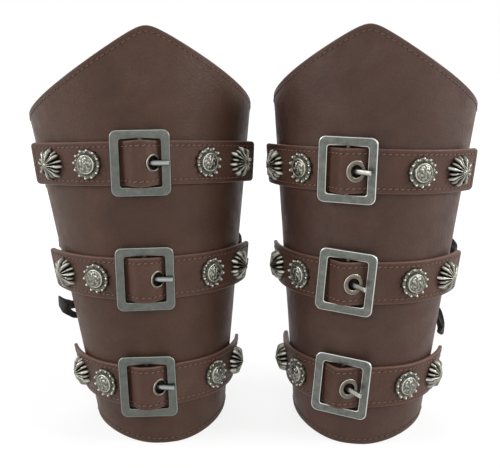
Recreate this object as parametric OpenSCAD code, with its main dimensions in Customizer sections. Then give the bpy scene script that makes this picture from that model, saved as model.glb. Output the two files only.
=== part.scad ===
// A pair of leather bracers, each with three buckled straps, standing side by side.
// Each cuff is laid out as a flat pattern and rolled into a cone that is open at the back:
// x runs across the pattern from its middle line, y runs up from the lower edge and
// w is the height above the leather's outer face.

/* [Cuffs] */
// Height of the cuff from the middle of its lower edge to its point
cuff_h = 244.8; // [225:0.5:255]
// Half the width of the flat pattern at its lower corners
low_half = 86; // [82:0.5:90]
// Half the width of the flat pattern at its upper corners
top_half = 130; // [124:1:134]
// How far the top edge would fall below the point on an endless pattern
shoulder_drop = 68; // [56:1:74]
// How wide the fall of the top edge is spread
shoulder_reach = 112; // [95:1:130]
// Rounding of the point
tip_round = 6; // [3:0.5:10]
// Rise of the lower edge from its middle to its sides
low_rise = 7.2; // [4:0.2:10]
// Half the width of the rounded part of the lower edge
low_wave = 60; // [52:1:66]
// Thickness of the outer leather
leather_t = 2; // [1.6:0.1:2.4]
// Thickness of the lining
lining_t = 1; // [0.8:0.1:1.2]
// Height above the floor at which the lining ends, short of the leather
lining_short = 0.8; // [0.4:0.1:1.5]

/* [Rolling and standing] */
// Radius of each cuff at the middle of its lower edge, left and right
cuff_r = [38.6, 39.6]; // [37:0.1:41]
// Slope of each cuff's wall, in degrees
wall_slope = [8.8, 6.3]; // [5:0.1:10]
// How far each cuff leans back, in degrees
lean = [14, 9]; // [6:0.5:16]
// How far each cuff leans to its side, in degrees
side_lean = [-1, 0.4]; // [-2:0.1:2]
// How far each cuff is turned towards the middle, in degrees
facing = [12, -12.7]; // [-16:0.1:16]
// Distance of each cuff's axis from the middle, at the lower edge
stand_x = [-62.6, 62.2]; // [-70:0.1:70]
// Depth of the flats on which each cuff stands
foot_cut = 0.5; // [0.3:0.1:0.8]

/* [Straps] */
// Height of each strap on the pattern's middle line, left cuff first and upper strap first
strap_y = [[169.6, 102.9, 38], [166, 101.8, 38.4]]; // [30:0.1:180]
// Fall of each strap from left to right, in degrees
strap_fall = [[1.5, 1, 0], [0, 0, 0]]; // [-2:0.1:2]
// Width of a strap
strap_w = 25; // [22:0.5:27]
// Thickness of a strap
strap_t = 2.2; // [1.8:0.1:2.4]
// Length of a strap
strap_l = 158; // [150:1:160]
// Gap between the lower strap and the lacing eyelets below it
strap_gap = 0.5; // [0.3:0.1:1.5]
// Shift of the straps' middle from the pattern's middle line
strap_shift = -2.5; // [-5:0.5:0]
// Radius of a strap's corners
strap_corner = 3; // [2:0.5:5]
// Running gap between leather and leather
leather_gap = 0.12; // [0.06:0.01:0.14]

/* [Buckles] */
// Width of a buckle frame
buckle_w = 33.6; // [32:0.1:36]
// Height of a buckle frame
buckle_h = 37.3; // [35:0.1:39]
// Width of the bars of a buckle frame
bar_w = 5.2; // [4:0.1:6]
// Thickness of a buckle frame
frame_t = 2.6; // [2.2:0.1:3]
// Outer corner radius of a buckle frame
frame_corner = 4; // [3:0.5:5]
// Chamfer under the side bars, where the strap passes
bar_chamfer = 0.9; // [0.6:0.1:1.2]
// Radius of the centre bar
pin_r = 1.4; // [1.2:0.05:1.5]
// Place of each buckle across the pattern, left cuff first and upper strap first
buckle_x = [[-7.1, -8.2, -10.2], [-8.2, -6.1, -6.1]]; // [-11:0.1:-4]
// Tilt of each buckle, in degrees
buckle_tilt = [[-1.2, -1, 0], [0, -3.5, -3.5]]; // [-4:0.1:4]

/* [Prongs] */
// Running clearance between a prong's curl and the centre bar
prong_clear = 0.06; // [0.03:0.01:0.1]
// Thickness of a prong's curl
curl_t = 1.14; // [1:0.02:1.2]
// Width of a prong
prong_w = 3.2; // [2.8:0.1:3.6]
// Thickness of a prong
prong_t = 1.8; // [1.6:0.1:2.2]
// Reach of a prong from the centre bar to its cut end
prong_reach = 16.4; // [15:0.1:16.8]
// Angle at which each prong lies, left cuff first and upper strap first
prong_angle = [[11.5, 11.5, 11.5], [26, 36, 33]]; // [11:0.5:38]

/* [Strap eyelets] */
// Place of each eyelet, from the centre bar along the strap
eyelet_at = [[6.2, 6.2, 6.2], [4.7, 4, 4.2]]; // [4:0.1:8]
// Outer radius of the strap eyelets, left and right
eyelet_r = [5.2, 6.1]; // [4.8:0.1:6.5]
// Hole radius of the strap eyelets, left and right
eyelet_hole_r = [3.8, 3.5]; // [3.2:0.1:4]
// Room between a buckle's curl and the strap over it, left and right
strap_bow = [0.65, 2.6]; // [0.5:0.05:3]
// Slope of the strap where its eyelet lies, left and right
eyelet_slope = [0.85, 0.8]; // [0.5:0.01:0.9]
// Height of an eyelet's rim above the strap
eyelet_rim = 0.5; // [0.3:0.1:0.7]
// Wall of an eyelet's barrel
barrel_t = 0.4; // [0.3:0.05:0.5]

/* [Conchos] */
// Distance of the petalled conchos from a strap's middle
petal_at = 60.7; // [58:0.1:66]
// Distance of the round conchos from a strap's middle
round_at = 34.7; // [32:0.1:38]
// Radius of a petalled concho
petal_r = 9.6; // [8.5:0.1:10.5]
// Height of a petalled concho
petal_h = 5.6; // [4:0.1:6.5]
// Number of petals
petal_count = 16; // [12:2:20]
// Radius of a round concho
round_r = 9; // [8:0.1:10]
// Number of beads on a round concho
bead_count = 12; // [10:1:14]
// Radius of a bead
bead_r = 1.5; // [1.2:0.1:1.7]
// Radius of a round concho's middle disc
disc_r = 5.2; // [4.5:0.1:5.6]
// Radius of a rivet's shank
rivet_r = 1.25; // [1:0.05:1.5]
// Radius of a rivet's head inside the cuff
rivet_head_r = 3.5; // [3:0.1:4]
// Thickness of a rivet's head
rivet_head_t = 0.9; // [0.7:0.1:1.2]
// Clearance round a rivet's shank
rivet_clear = 0.1; // [0.05:0.01:0.15]

/* [Lacing] */
// Height of each row of lacing eyelets above the lowest
lace_rows = [0, 43.1, 86.2, 129.4]; // [0:0.1:145]
// Distance of the lacing eyelets from the back edge
lace_inset = 9; // [8:0.5:11]
// Hole radius of a lacing eyelet
lace_hole_r = 2.6; // [2.4:0.1:3]
// Rim radius of a lacing eyelet
lace_rim_r = 4.75; // [4.4:0.05:5]
// Thickness of a lacing eyelet's rim
lace_rim_t = 0.6; // [0.4:0.1:0.8]
// Width of the flat lace
lace_w = 6; // [5:0.5:6.5]
// Thickness of the flat lace
lace_t = 1; // [0.8:0.1:1.2]

/* [Hidden] */
SIDES = ["left", "right"];
BANDS = ["upper", "middle", "lower"];
STRAP_PIECES = ["strap", "buckle_frame", "buckle_prong", "strap_eyelet", "petal_conchos", "round_conchos"];
CUFF_PIECES = ["cuff_leather", "cuff_lining", "concho_rivets", "lacing_eyelets", "lace"];
$fn = 48;

LEATHER = [0.33, 0.25, 0.22];
STRAP_BROWN = [0.36, 0.24, 0.21];
GUNMETAL = [0.44, 0.46, 0.46];
OLD_SILVER = [0.62, 0.62, 0.58];
BLACK = [0.13, 0.13, 0.14];
wall_t = leather_t + lining_t;
// Height on the pattern of the upper back corners
back_y = cuff_h - shoulder_drop;
// Reach of the cutters beyond the leather's two faces
cut_in = 14;
cut_out = 12;
// Middle of the pair's footprint, so that the origin lies under its middle
middle = [-7, 16];

// Rolled surface

function cone_start(s) = cuff_r[s] / sin(wall_slope[s]);
function cone_dist(s, x, y) = norm([x, y + cone_start(s)]);
function fan_angle(s, x, y) = atan2(x, y + cone_start(s));
function turn(s, x, y) = fan_angle(s, x, y) / sin(wall_slope[s]);
function wall_radius(s, y) = (y + cone_start(s)) * sin(wall_slope[s]);
function rolled(s, x, y, w) =
    let (r = cone_dist(s, x, y) * sin(wall_slope[s]) + w * cos(wall_slope[s]),
         z = (cone_dist(s, x, y) - cone_start(s)) * cos(wall_slope[s]) - w * sin(wall_slope[s]))
    [r * sin(turn(s, x, y)), -r * cos(turn(s, x, y)), z];

// Height above the floor of a point given in the cuff's own axes
function tilted_z(s, p) =
    -sin(side_lean[s]) * p.x + cos(side_lean[s]) * (cos(lean[s]) * p.z - sin(lean[s]) * p.y);
function lift(s) = -tilted_z(s, rolled(s, 0, 0, 0)) - foot_cut;
function floor_z(s, x, y) = tilted_z(s, rolled(s, x, y, 0)) + lift(s);
// Pattern height at which the wall meets the floor
function floor_y(s, x) = -10 * floor_z(s, x, 0) / (floor_z(s, x, 10) - floor_z(s, x, 0));

function smooth(t) = let (c = min(1, max(0, t))) c * c * (3 - 2 * c);
function soft_min(a, b, k) = (a + b - sqrt((a - b) * (a - b) + k * k)) / 2;
function soft_max(a, b, k) = -soft_min(-a, -b, k);

function tanh(t) = (exp(2 * t) - 1) / (exp(2 * t) + 1);
function top_edge(x) =
    cuff_h - shoulder_drop * tanh((sqrt(x * x + tip_round * tip_round) - tip_round) / shoulder_reach);
function low_edge(s, x) =
    let (wave = low_rise * (1 - cos(180 * min(abs(x) / low_wave, 1))) / 2,
         t = smooth((abs(x) - low_wave) / (low_half - low_wave - 6)))
    wave * (1 - t) + (floor_y(s, x) - foot_cut) * t;
function side_edge(y) = low_half + (top_half - low_half) * y / back_y;
function lace_x(y) = side_edge(y) - lace_inset;

// Places the children on the wall, with x along a strap and z out of the leather
module on_wall(s, x, y, w = 0) {
    r = cone_dist(s, x, y) * sin(wall_slope[s]);
    z = (cone_dist(s, x, y) - cone_start(s)) * cos(wall_slope[s]);
    rotate([0, 0, turn(s, x, y)])
        translate([0, -r, z])
            rotate([90 + wall_slope[s], 0, 0])
                rotate([0, 0, fan_angle(s, x, y)])
                    translate([0, 0, w])
                        children();
}

// Stands a cuff and all that it carries on the floor
module standing(s) {
    translate([stand_x[s] - middle.x, -middle.y, lift(s)])
        rotate([-lean[s], side_lean[s], facing[s]])
            children();
}

// Closed solid through a list of rings that have equally many points
module skin(rings) {
    n = len(rings[0]);
    m = len(rings);
    points = [for (ring = rings, p = ring) p];
    walls = [
        for (i = [0 : m - 2], j = [0 : n - 1])
            let (a = i * n + j, b = i * n + (j + 1) % n)
            each [[a, b, b + n], [a, b + n, a + n]]
    ];
    ends = [
        for (j = [1 : n - 2]) each [[0, j + 1, j], [(m - 1) * n, (m - 1) * n + j, (m - 1) * n + j + 1]]
    ];
    polyhedron(points = points, faces = concat(walls, ends));
}

// Cuff walls

// What lies above the top edge or below the lower edge of the pattern
module edge_cutter(s, above) {
    reach = above ? top_half * 1.19 : low_half * 1.16;
    steps = above ? 52 : 40;
    rings = [
        for (i = [0 : steps])
            let (x = -reach + 2 * reach * i / steps,
                 near = above ? top_edge(x) : low_edge(s, x),
                 far = above ? cuff_h * 1.04 : -cuff_h / 8)
            [rolled(s, x, near, -cut_in), rolled(s, x, near, cut_out),
             rolled(s, x, far, cut_out), rolled(s, x, far, -cut_in)]
    ];
    skin(above ? rings : [for (ring = rings) [ring[3], ring[2], ring[1], ring[0]]]);
}

// What lies behind the back edge on one side of the pattern
module back_cutter(s, way) {
    steps = 8;
    beyond = low_half * 0.68;
    rings = [
        for (i = [0 : steps])
            let (y = cuff_h * (1.25 * i / steps - 0.145), x = side_edge(y))
            [rolled(s, way * x, y, -cut_in), rolled(s, way * x, y, cut_out),
             rolled(s, way * (x + beyond), y, cut_out), rolled(s, way * (x + beyond), y, -cut_in)]
    ];
    skin(way < 0 ? rings : [for (ring = rings) [ring[3], ring[2], ring[1], ring[0]]]);
}

// Cone shell from depth w_in to depth w_out, before its edges are cut
module cone_shell(s, w_in, w_out) {
    low = -cuff_h / 10;
    high = cuff_h * 1.02;
    half_turn = max(turn(s, low_half, 0), turn(s, top_half, back_y)) + 10;
    slope = wall_slope[s];
    start = cone_start(s);
    profile = [
        for (q = [[low, w_out], [high, w_out], [high, w_in], [low, w_in]])
            [(q[0] + start) * sin(slope) + q[1] * cos(slope), q[0] * cos(slope) - q[1] * sin(slope)]
    ];
    rotate([0, 0, -90 - half_turn])
        rotate_extrude(angle = 2 * half_turn)
            polygon(profile);
}

module floor_cutter(level) {
    translate([-cuff_h, -cuff_h, level - cuff_h / 4]) cube([2 * cuff_h, 2 * cuff_h, cuff_h / 4]);
}

// One layer of a cuff, with its holes for rivets and lacing, cut off flat at a level
module cuff_layer(s, w_in, w_out, level) {
    difference() {
        standing(s)
            difference() {
                cone_shell(s, w_in, w_out);
                edge_cutter(s, true);
                edge_cutter(s, false);
                for (way = [-1, 1]) back_cutter(s, way);
                for (b = [0 : len(BANDS) - 1], x = concho_places())
                    on_wall(s, x, band_y(s, b, x), -cut_in) cylinder(h = cut_in + cut_out, r = rivet_r + rivet_clear);
                for (y = lace_heights(s), way = [-1, 1])
                    on_wall(s, way * lace_x(y), y, -cut_in)
                        cylinder(h = cut_in + cut_out, r = lace_hole_r + barrel_t + rivet_clear / 2);
            }
        floor_cutter(level);
    }
}

module cuff_leather(s) {
    color(LEATHER) cuff_layer(s, -leather_t, 0, 0);
}

module cuff_lining(s) {
    color([0.42, 0.33, 0.26]) cuff_layer(s, -wall_t, -leather_t, lining_short);
}

// Straps

curl_r = pin_r + prong_clear + curl_t;
// Height of a buckle frame's middle above the leather
frame_w = curl_r + 0.3;
// Middle of the strap over the curl and under the side bars, from the frame's middle
function strap_over(s) = curl_r + strap_bow[s] + strap_t / 2;
strap_under = -(frame_t / 2 + 0.1 + strap_t / 2);
// Distance from the buckle at which a strap lies back on the leather
lift_off = 25;
bar_edge = buckle_w / 2 - bar_w;
strap_top = strap_t + leather_gap;

// Height on the pattern of a strap's middle line at x
function band_y(s, b, x) = strap_y[s][b] - x * tan(strap_fall[s][b]);
function concho_places() = [for (d = [petal_at, round_at], way = [-1, 1]) strap_shift + way * d];

// Height of a strap's middle above the leather at distance u from the buckle
function strap_height(s, b, u) =
    let (r = wall_radius(s, strap_y[s][b]),
         bow = u * u / (2 * r),
         rest = strap_t / 2 + leather_gap + pow(max(0, lift_off - abs(u)), 2) / (2 * r),
         bed = abs(u) > lift_off ? rest : soft_min(rest, frame_w + strap_under + bow, 0.3),
         rise = strap_under + 0.95 * (u + bar_edge - 1.1),
         fall = strap_under - eyelet_slope[s] * (u - bar_edge + 0.9),
         hump = soft_min(soft_min(rise, fall, 0.8), strap_over(s), 0.8) + frame_w + bow)
    abs(u) > bar_edge + 5 ? bed : soft_max(bed, hump, 0.5);
function strap_pitch(s, b, u) =
    atan((strap_height(s, b, u + 0.2) - strap_height(s, b, u - 0.2)) / 0.4);

// Half the width of a strap at distance e from its end
function strap_half(e) =
    strap_w / 2 - (e < strap_corner ? strap_corner - sqrt(strap_corner * strap_corner
        - (strap_corner - e) * (strap_corner - e)) : 0);

function strap_ring(s, b, x) =
    let (u = x - buckle_x[s][b],
         ends = [x - strap_shift + strap_l / 2, strap_shift + strap_l / 2 - x],
         half = strap_half(min(ends)),
         tip = strap_pitch(s, b, u),
         bevel = 0.4,
         outline = [[-half, -0.5], [0, -0.5], [half, -0.5], [half, 0.5 - bevel / strap_t],
                    [half - bevel, 0.5], [0, 0.5], [bevel - half, 0.5], [-half, 0.5 - bevel / strap_t]])
    [for (q = outline)
        rolled(s, x - q[1] * strap_t * sin(tip), band_y(s, b, x) + q[0],
            strap_height(s, b, u) + q[1] * strap_t * cos(tip))];

function strap_stations(s, b) =
    let (left = strap_shift - strap_l / 2,
         right = strap_shift + strap_l / 2,
         fine = 18,
         bx = buckle_x[s][b],
         corner = [0, 0.3, 1.1, strap_corner],
         left_steps = 12,
         right_steps = 15,
         from = left + strap_corner,
         to = right - strap_corner)
    concat(
        [for (c = corner) left + c],
        [for (i = [1 : left_steps]) from + (bx - fine - from) * i / left_steps],
        [for (d = [1.5 : 1.5 : 2 * fine]) bx - fine + d],
        [for (i = [1 : right_steps - 1]) bx + fine + (to - bx - fine) * i / right_steps],
        [for (i = [len(corner) - 1 : -1 : 0]) right - corner[i]]
    );

// Places the children on a strap at its eyelet, with z out of the strap
module at_eyelet(s, b) {
    u = eyelet_at[s][b];
    on_wall(s, buckle_x[s][b] + u, band_y(s, b, buckle_x[s][b] + u), strap_height(s, b, u))
        rotate([0, -strap_pitch(s, b, u), 0])
            children();
}

module strap(s, b) {
    color(STRAP_BROWN)
        standing(s)
            difference() {
                skin([for (x = strap_stations(s, b)) strap_ring(s, b, x)]);
                for (x = concho_places())
                    on_wall(s, x, band_y(s, b, x), -1) cylinder(h = 6, r = rivet_r + rivet_clear);
                at_eyelet(s, b) {
                    translate([0, 0, -3]) cylinder(h = 6, r = eyelet_hole_r[s] + barrel_t);
                    translate([0, 0, strap_t / 2]) cylinder(h = 3, r = eyelet_r[s] + leather_gap / 2);
                }
            }
}

module strap_eyelet(s, b) {
    hole = eyelet_hole_r[s];
    color(GUNMETAL)
        standing(s)
            at_eyelet(s, b)
                rotate_extrude()
                    polygon([
                        [hole, -strap_t / 2 + 0.1], [hole + barrel_t, -strap_t / 2 + 0.1],
                        [hole + barrel_t, strap_t / 2], [eyelet_r[s], strap_t / 2],
                        [eyelet_r[s] - 0.3, strap_t / 2 + eyelet_rim * 0.7],
                        [eyelet_r[s] - 0.8, strap_t / 2 + eyelet_rim],
                        [hole + 0.5, strap_t / 2 + eyelet_rim], [hole, strap_t / 2 + eyelet_rim * 0.4]
                    ]);
}

// Buckles

// Places the children in a buckle's own plane, with y along the centre bar
module at_buckle(s, b) {
    standing(s)
        on_wall(s, buckle_x[s][b], band_y(s, b, buckle_x[s][b]), frame_w)
            rotate([0, 0, buckle_tilt[s][b]])
                children();
}

module rounded_rect(w, h, r) {
    square([w - 2 * r, h], center = true);
    square([w, h - 2 * r], center = true);
    for (x = [-1, 1], y = [-1, 1])
        translate([x * (w / 2 - r), y * (h / 2 - r)]) circle(r);
}

// What the strap passes at the lower inner edge of a side bar
module bar_chamfer_cutter(way) {
    side = bar_chamfer * sqrt(2);
    translate([way * bar_edge, 0, -frame_t / 2])
        rotate([0, 45, 0])
            cube([side, buckle_h - 2 * bar_w - frame_corner / 2, side], center = true);
}

module buckle_frame(s, b) {
    color(s == 0 ? GUNMETAL : OLD_SILVER)
        at_buckle(s, b) {
            difference() {
                linear_extrude(frame_t, center = true)
                    difference() {
                        rounded_rect(buckle_w, buckle_h, frame_corner);
                        rounded_rect(buckle_w - 2 * bar_w, buckle_h - 2 * bar_w, frame_corner / 2);
                    }
                for (way = [-1, 1]) bar_chamfer_cutter(way);
            }
            rotate([90, 0, 0]) cylinder(h = buckle_h - bar_w, r = pin_r - 0.1, center = true);
            rotate([90, 0, 0]) cylinder(h = buckle_h - 2 * bar_w - 1, r = pin_r, center = true);
        }
}

// Side view of a prong that lies along x, with its curl round the origin
module prong_outline() {
    waist = 0.7;
    difference() {
        union() {
            circle(curl_r);
            polygon([
                [0, -waist], [curl_r + 1, -waist], [prong_reach * 0.45, -prong_t / 2],
                [prong_reach, -prong_t / 2], [prong_reach, prong_t / 2 - 0.4], [prong_reach - 0.6, prong_t / 2],
                [prong_reach * 0.45, prong_t / 2], [curl_r + 1, waist], [0, waist]
            ]);
        }
        circle(pin_r + prong_clear);
    }
}

module buckle_prong(s, b) {
    color(s == 0 ? GUNMETAL : OLD_SILVER)
        at_buckle(s, b)
            rotate([0, -prong_angle[s][b], 0])
                rotate([90, 0, 0])
                    linear_extrude(prong_w, center = true)
                        prong_outline();
}

// Conchos and their rivets

// Lobed outline with long and short lobes in turn
module lobed(count, r, lobe_r, step) {
    circle(r - lobe_r * 1.2);
    for (i = [0 : count - 1])
        rotate(i * 360 / count)
            translate([r - lobe_r - (i % 2) * step, 0]) circle(lobe_r, $fn = 24);
}

module petal_concho() {
    lobe_r = PI * (petal_r - 1.7) / petal_count;
    dome_r = (petal_r * petal_r + petal_h * petal_h) / (2 * petal_h);
    rim = 0.8;
    groove_r = 0.42;
    difference() {
        intersection() {
            linear_extrude(petal_h + 1) lobed(petal_count, petal_r, lobe_r, 0.7);
            translate([0, 0, rim + petal_h - 0.4 - dome_r]) sphere(dome_r, $fn = 96);
        }
        for (i = [0 : petal_count - 1])
            rotate([0, 0, (i + 0.5) * 360 / petal_count])
                translate([2.2, 0, rim + petal_h - 0.3])
                    rotate([0, 90 + atan(petal_h / petal_r) * 0.9, 0])
                        cylinder(h = petal_r + 2, r1 = groove_r * 0.6, r2 = groove_r * 1.8, $fn = 24);
        translate([0, 0, -1]) cylinder(h = 1 + rivet_bite, r = rivet_r);
    }
}

// Depth to which a rivet is held in its concho
rivet_bite = 1.2;

module round_concho() {
    difference() {
        union() {
            rotate_extrude()
                polygon([
                    [0, 0], [round_r - bead_r, 0], [round_r - bead_r, 1.1], [disc_r + 1.2, 1.6],
                    [disc_r + 0.1, 1.6], [disc_r, 2.7], [disc_r - 0.5, 3.2], [disc_r - 1.3, 3.4],
                    [disc_r - 1.7, 3.2], [1.6, 3.7], [0, 3.8]
                ]);
            for (i = [0 : bead_count - 1])
                rotate([0, 0, i * 360 / bead_count])
                    translate([round_r - bead_r, 0, 0])
                        intersection() {
                            sphere(bead_r, $fn = 24);
                            translate([-2, -2, 0]) cube([4, 4, 2]);
                        }
        }
        translate([0, 0, -1]) cylinder(h = 1 + rivet_bite, r = rivet_r);
    }
}

module on_strap(s, b, x) {
    standing(s) on_wall(s, x, band_y(s, b, x), strap_top + 0.02) children();
}

module petal_conchos(s, b) {
    color(OLD_SILVER)
        for (way = [-1, 1]) on_strap(s, b, strap_shift + way * petal_at) petal_concho();
}

module round_conchos(s, b) {
    color(OLD_SILVER)
        for (way = [-1, 1]) on_strap(s, b, strap_shift + way * round_at) round_concho();
}

// Height above a round wall's tangent plane at distance r from the place of touch
function sag(r, wall_r) = wall_r - sqrt(wall_r * wall_r - r * r);

module concho_rivets(s) {
    color(GUNMETAL)
        standing(s)
            for (b = [0 : len(BANDS) - 1], x = concho_places()) {
                seat = sag(rivet_head_r, wall_radius(s, strap_y[s][b]) - wall_t) + 0.02;
                head = -wall_t - seat;
                top = strap_top + 0.02 + rivet_bite;
                on_wall(s, x, band_y(s, b, x))
                    rotate_extrude()
                        polygon([
                            [0, head - rivet_head_t], [rivet_head_r - 0.5, head - rivet_head_t],
                            [rivet_head_r, head - 0.3], [rivet_head_r, head],
                            [rivet_r, head], [rivet_r, top], [0, top]
                        ]);
            }
}

// Lacing

module lacing_eyelets(s) {
    color([0.25, 0.22, 0.18])
        standing(s)
            for (y = lace_heights(s), way = [-1, 1]) {
                back = -wall_t - sag(lace_rim_r, wall_radius(s, y) - wall_t) - 0.02;
                bore = lace_hole_r;
                barrel = lace_hole_r + barrel_t;
                on_wall(s, way * lace_x(y), y)
                    rotate_extrude()
                        polygon([
                            [bore, back - lace_rim_t / 2], [bore + 0.4, back - lace_rim_t],
                            [lace_rim_r - 0.3, back - lace_rim_t], [lace_rim_r, back],
                            [barrel, back], [barrel, 0.02], [lace_rim_r, 0.02],
                            [lace_rim_r - 0.4, lace_rim_t], [bore + 0.5, lace_rim_t], [bore, lace_rim_t / 2]
                        ]);
            }
}

// Heights of the lacing eyelets on the pattern, the lowest just below the lower strap
function lace_heights(s) =
    [for (up = lace_rows) strap_y[s][2] - strap_w / 2 - strap_gap - lace_rim_r + up];

// Slack of the lace outside each eyelet, for each cuff, side and row from the lowest:
// height above the leather, reach towards the front and drop of its loop, or 0 where it is tight
LACE_SLACK = [
    [[0, [9, 9, 0], 0], [0, 0, [6, 5, 4]]],
    [[0, 0, 0], [[6, 7, 0], [7, 8, 5], [7, 8, 2]]]
];
inner_w = -wall_t - 1.6;

// Point of the lace's route: dx from an eyelet towards the gap, dy up from it
function lace_spot(s, way, k, dx, dy, w) =
    let (y = lace_heights(s)[k] + dy) rolled(s, way * (lace_x(y) + dx), y, w);
function halfway(a, b) = (a + b) / 2;

// Route from an eyelet on one side, over the gap, to the next eyelet on the other side,
// as [place, half width, half thickness]
function lace_run(s, way, k) =
    let (slack = LACE_SLACK[s][way < 0 ? 0 : 1][k],
         wide = lace_w / 2,
         thick = lace_t / 2,
         over = lace_spot(s, way, k, 12, 4.4, 1.9),
         under = lace_spot(s, -way, k + 1, 13, -8, inner_w))
    concat(
        [
            [lace_spot(s, way, k, 0, 0, -1.5), 1.6, 0.6],
            [lace_spot(s, way, k, 0, 0, 1.1), 1.6, 0.6]
        ],
        slack == 0 ? lace_tight(s, way, k) : lace_loop(s, way, k, slack[0], slack[1], slack[2]),
        [
            [over, wide - 0.4, thick],
            [halfway(over, under) + [0, way * 1.5, -1.5], wide, thick],
            [under, wide, thick],
            [lace_spot(s, -way, k + 1, 4, -3.5, inner_w - 0.1), 2.4, thick],
            [lace_spot(s, -way, k + 1, 0, -0.3, inner_w + 0.1), 1.6, 0.6]
        ]
    );
function lace_tight(s, way, k) = [
    [lace_spot(s, way, k, 1.4, 0.5, 2.5), 2.2, lace_t / 2],
    [lace_spot(s, way, k, 4.6, 1.5, 3), lace_w / 2 - 0.4, lace_t / 2]
];
function lace_loop(s, way, k, up, out, drop) = [
    [lace_spot(s, way, k, -out * 0.55, -drop * 0.3, 0.8 + up * 0.35), 2.2, lace_t / 2],
    [lace_spot(s, way, k, -out, -drop * 0.8, up * 0.75), lace_w / 2, lace_t / 2],
    [lace_spot(s, way, k, -out * 0.55, 2 - drop, up * 1.15), lace_w / 2, lace_t / 2],
    [lace_spot(s, way, k, 1 + out * 0.3, 3 - drop * 0.4, up), lace_w / 2, lace_t / 2]
];

// From an uppermost eyelet to the knot behind the arm
function lace_end(s, way) =
    let (k = len(lace_rows) - 1)
    [
        [lace_spot(s, way, k, 0, 0, -1.5), 1.6, 0.6],
        [lace_spot(s, way, k, 0, 0, 1.1), 1.6, 0.6],
        [lace_spot(s, way, k, 1.8, -0.3, 2.6), 2.2, lace_t / 2],
        [lace_spot(s, way, k, 6, -1, 2.8), 2.6, lace_t / 2],
        [lace_spot(s, way, k, 12, -3, 1.4), lace_w / 2, lace_t / 2],
        [knot_spot(s) + [way * 2, 0, 0.5], 2.2, lace_t / 2]
    ];
function knot_spot(s) =
    let (k = len(lace_rows) - 1)
    halfway(lace_spot(s, -1, k, 12, -3, 1.4), lace_spot(s, 1, k, 12, -3, 1.4)) + [0, 0, -5];

// Half of the lace, from the lowest eyelet on one side to the knot
function lace_half(s, way) = concat(
    [for (k = [0 : len(lace_rows) - 2]) each lace_run(s, way * (k % 2 == 0 ? 1 : -1), k)],
    lace_end(s, way * (len(lace_rows) % 2 == 0 ? -1 : 1))
);

function backwards(list) = [for (i = [len(list) - 1 : -1 : 0]) list[i]];
function lace_route(s) = concat(
    backwards(lace_half(s, -1)),
    [
        [lace_spot(s, -1, 0, 0.3, 0, inner_w + 0.1), 1.6, 0.6],
        [lace_spot(s, -1, 0, 4.5, 0, inner_w - 0.1), 2.4, lace_t / 2],
        [lace_spot(s, -1, 0, 13, -0.5, inner_w), lace_w / 2, lace_t / 2],
        [lace_spot(s, 1, 0, 13, -0.5, inner_w), lace_w / 2, lace_t / 2],
        [lace_spot(s, 1, 0, 4.5, 0, inner_w - 0.1), 2.4, lace_t / 2],
        [lace_spot(s, 1, 0, 0.3, 0, inner_w + 0.1), 1.6, 0.6]
    ],
    lace_half(s, 1)
);

// Tail that hangs from the knot and ends in a sealed tip
function lace_tail(s, way) =
    let (k = knot_spot(s))
    [
        [k + [way * 1, 0.5, 1], 2.2, lace_t / 2],
        [k + [way * 3.5, 2.2, -4], lace_w / 2 - 0.4, lace_t / 2],
        [k + [way * 6.5, 3, -11], lace_w / 2, lace_t / 2],
        [k + [way * 8.5, 2.6, -20], lace_w / 2, lace_t / 2],
        [k + [way * 9.5, 2, -29], lace_w / 2 - 0.4, lace_t / 2],
        [k + [way * 9.8, 1.8, -31], 1.3, 1.1],
        [k + [way * 10.2, 1.6, -39], 1.2, 1]
    ];

// Knot's outline along the gap, as [place, half height, half depth]
function lace_knot(s) =
    let (k = knot_spot(s))
    [
        [k + [-4.8, 0, 0], 2.4, 1.6], [k + [-3.6, 0, 0], 3.6, 2.5], [k + [-1.4, 0, 0], 4.3, 3],
        [k + [1.4, 0, 0], 4.3, 3], [k + [3.6, 0, 0], 3.6, 2.5], [k + [4.8, 0, 0], 2.4, 1.6]
    ];

function unit(v) = v / norm(v);
function lace_ring(route, i) =
    let (before = route[max(0, i - 1)][0],
         after = route[min(len(route) - 1, i + 1)][0],
         along = unit(after - before),
         up = abs(along.z) > 0.97 ? [1, 0, 0] : [0, 0, 1],
         across = unit(up - along * (up * along)),
         out = cross(across, along),
         half_w = route[i][1],
         half_t = route[i][2],
         outline = [[-1, -0.4], [-0.7, -1], [0.7, -1], [1, -0.4], [1, 0.4], [0.7, 1], [-0.7, 1], [-1, 0.4]])
    [for (q = outline) route[i][0] + across * q[0] * half_w + out * q[1] * half_t];

module lace_strip(route) {
    skin([for (i = [0 : len(route) - 1]) lace_ring(route, i)]);
}

module lace(s) {
    color(BLACK)
        standing(s) {
            lace_strip(lace_route(s));
            lace_strip(lace_knot(s));
            for (way = [-1, 1]) lace_strip(lace_tail(s, way));
        }
}

// Nodes

for (s = [0 : 1]) {
    side = SIDES[s];
    cuff_leather(s);
    cuff_lining(s);
    concho_rivets(s);
    lacing_eyelets(s);
    lace(s);
    for (b = [0 : len(BANDS) - 1]) {
        band = str(side, "_", BANDS[b]);
        strap(s, b);
        buckle_frame(s, b);
        buckle_prong(s, b);
        strap_eyelet(s, b);
        petal_conchos(s, b);
        round_conchos(s, b);
    }
}
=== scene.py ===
"""Two leather bracers with buckled straps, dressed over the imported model.

Lengths are millimetres until a mesh is made. On a cuff's flat pattern x runs across
from the middle line, y runs up from the lower edge, and w is the height above the
leather's outer face. s is the cuff (0 left, 1 right) and b the strap (0 upper).
"""
import math

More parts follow.
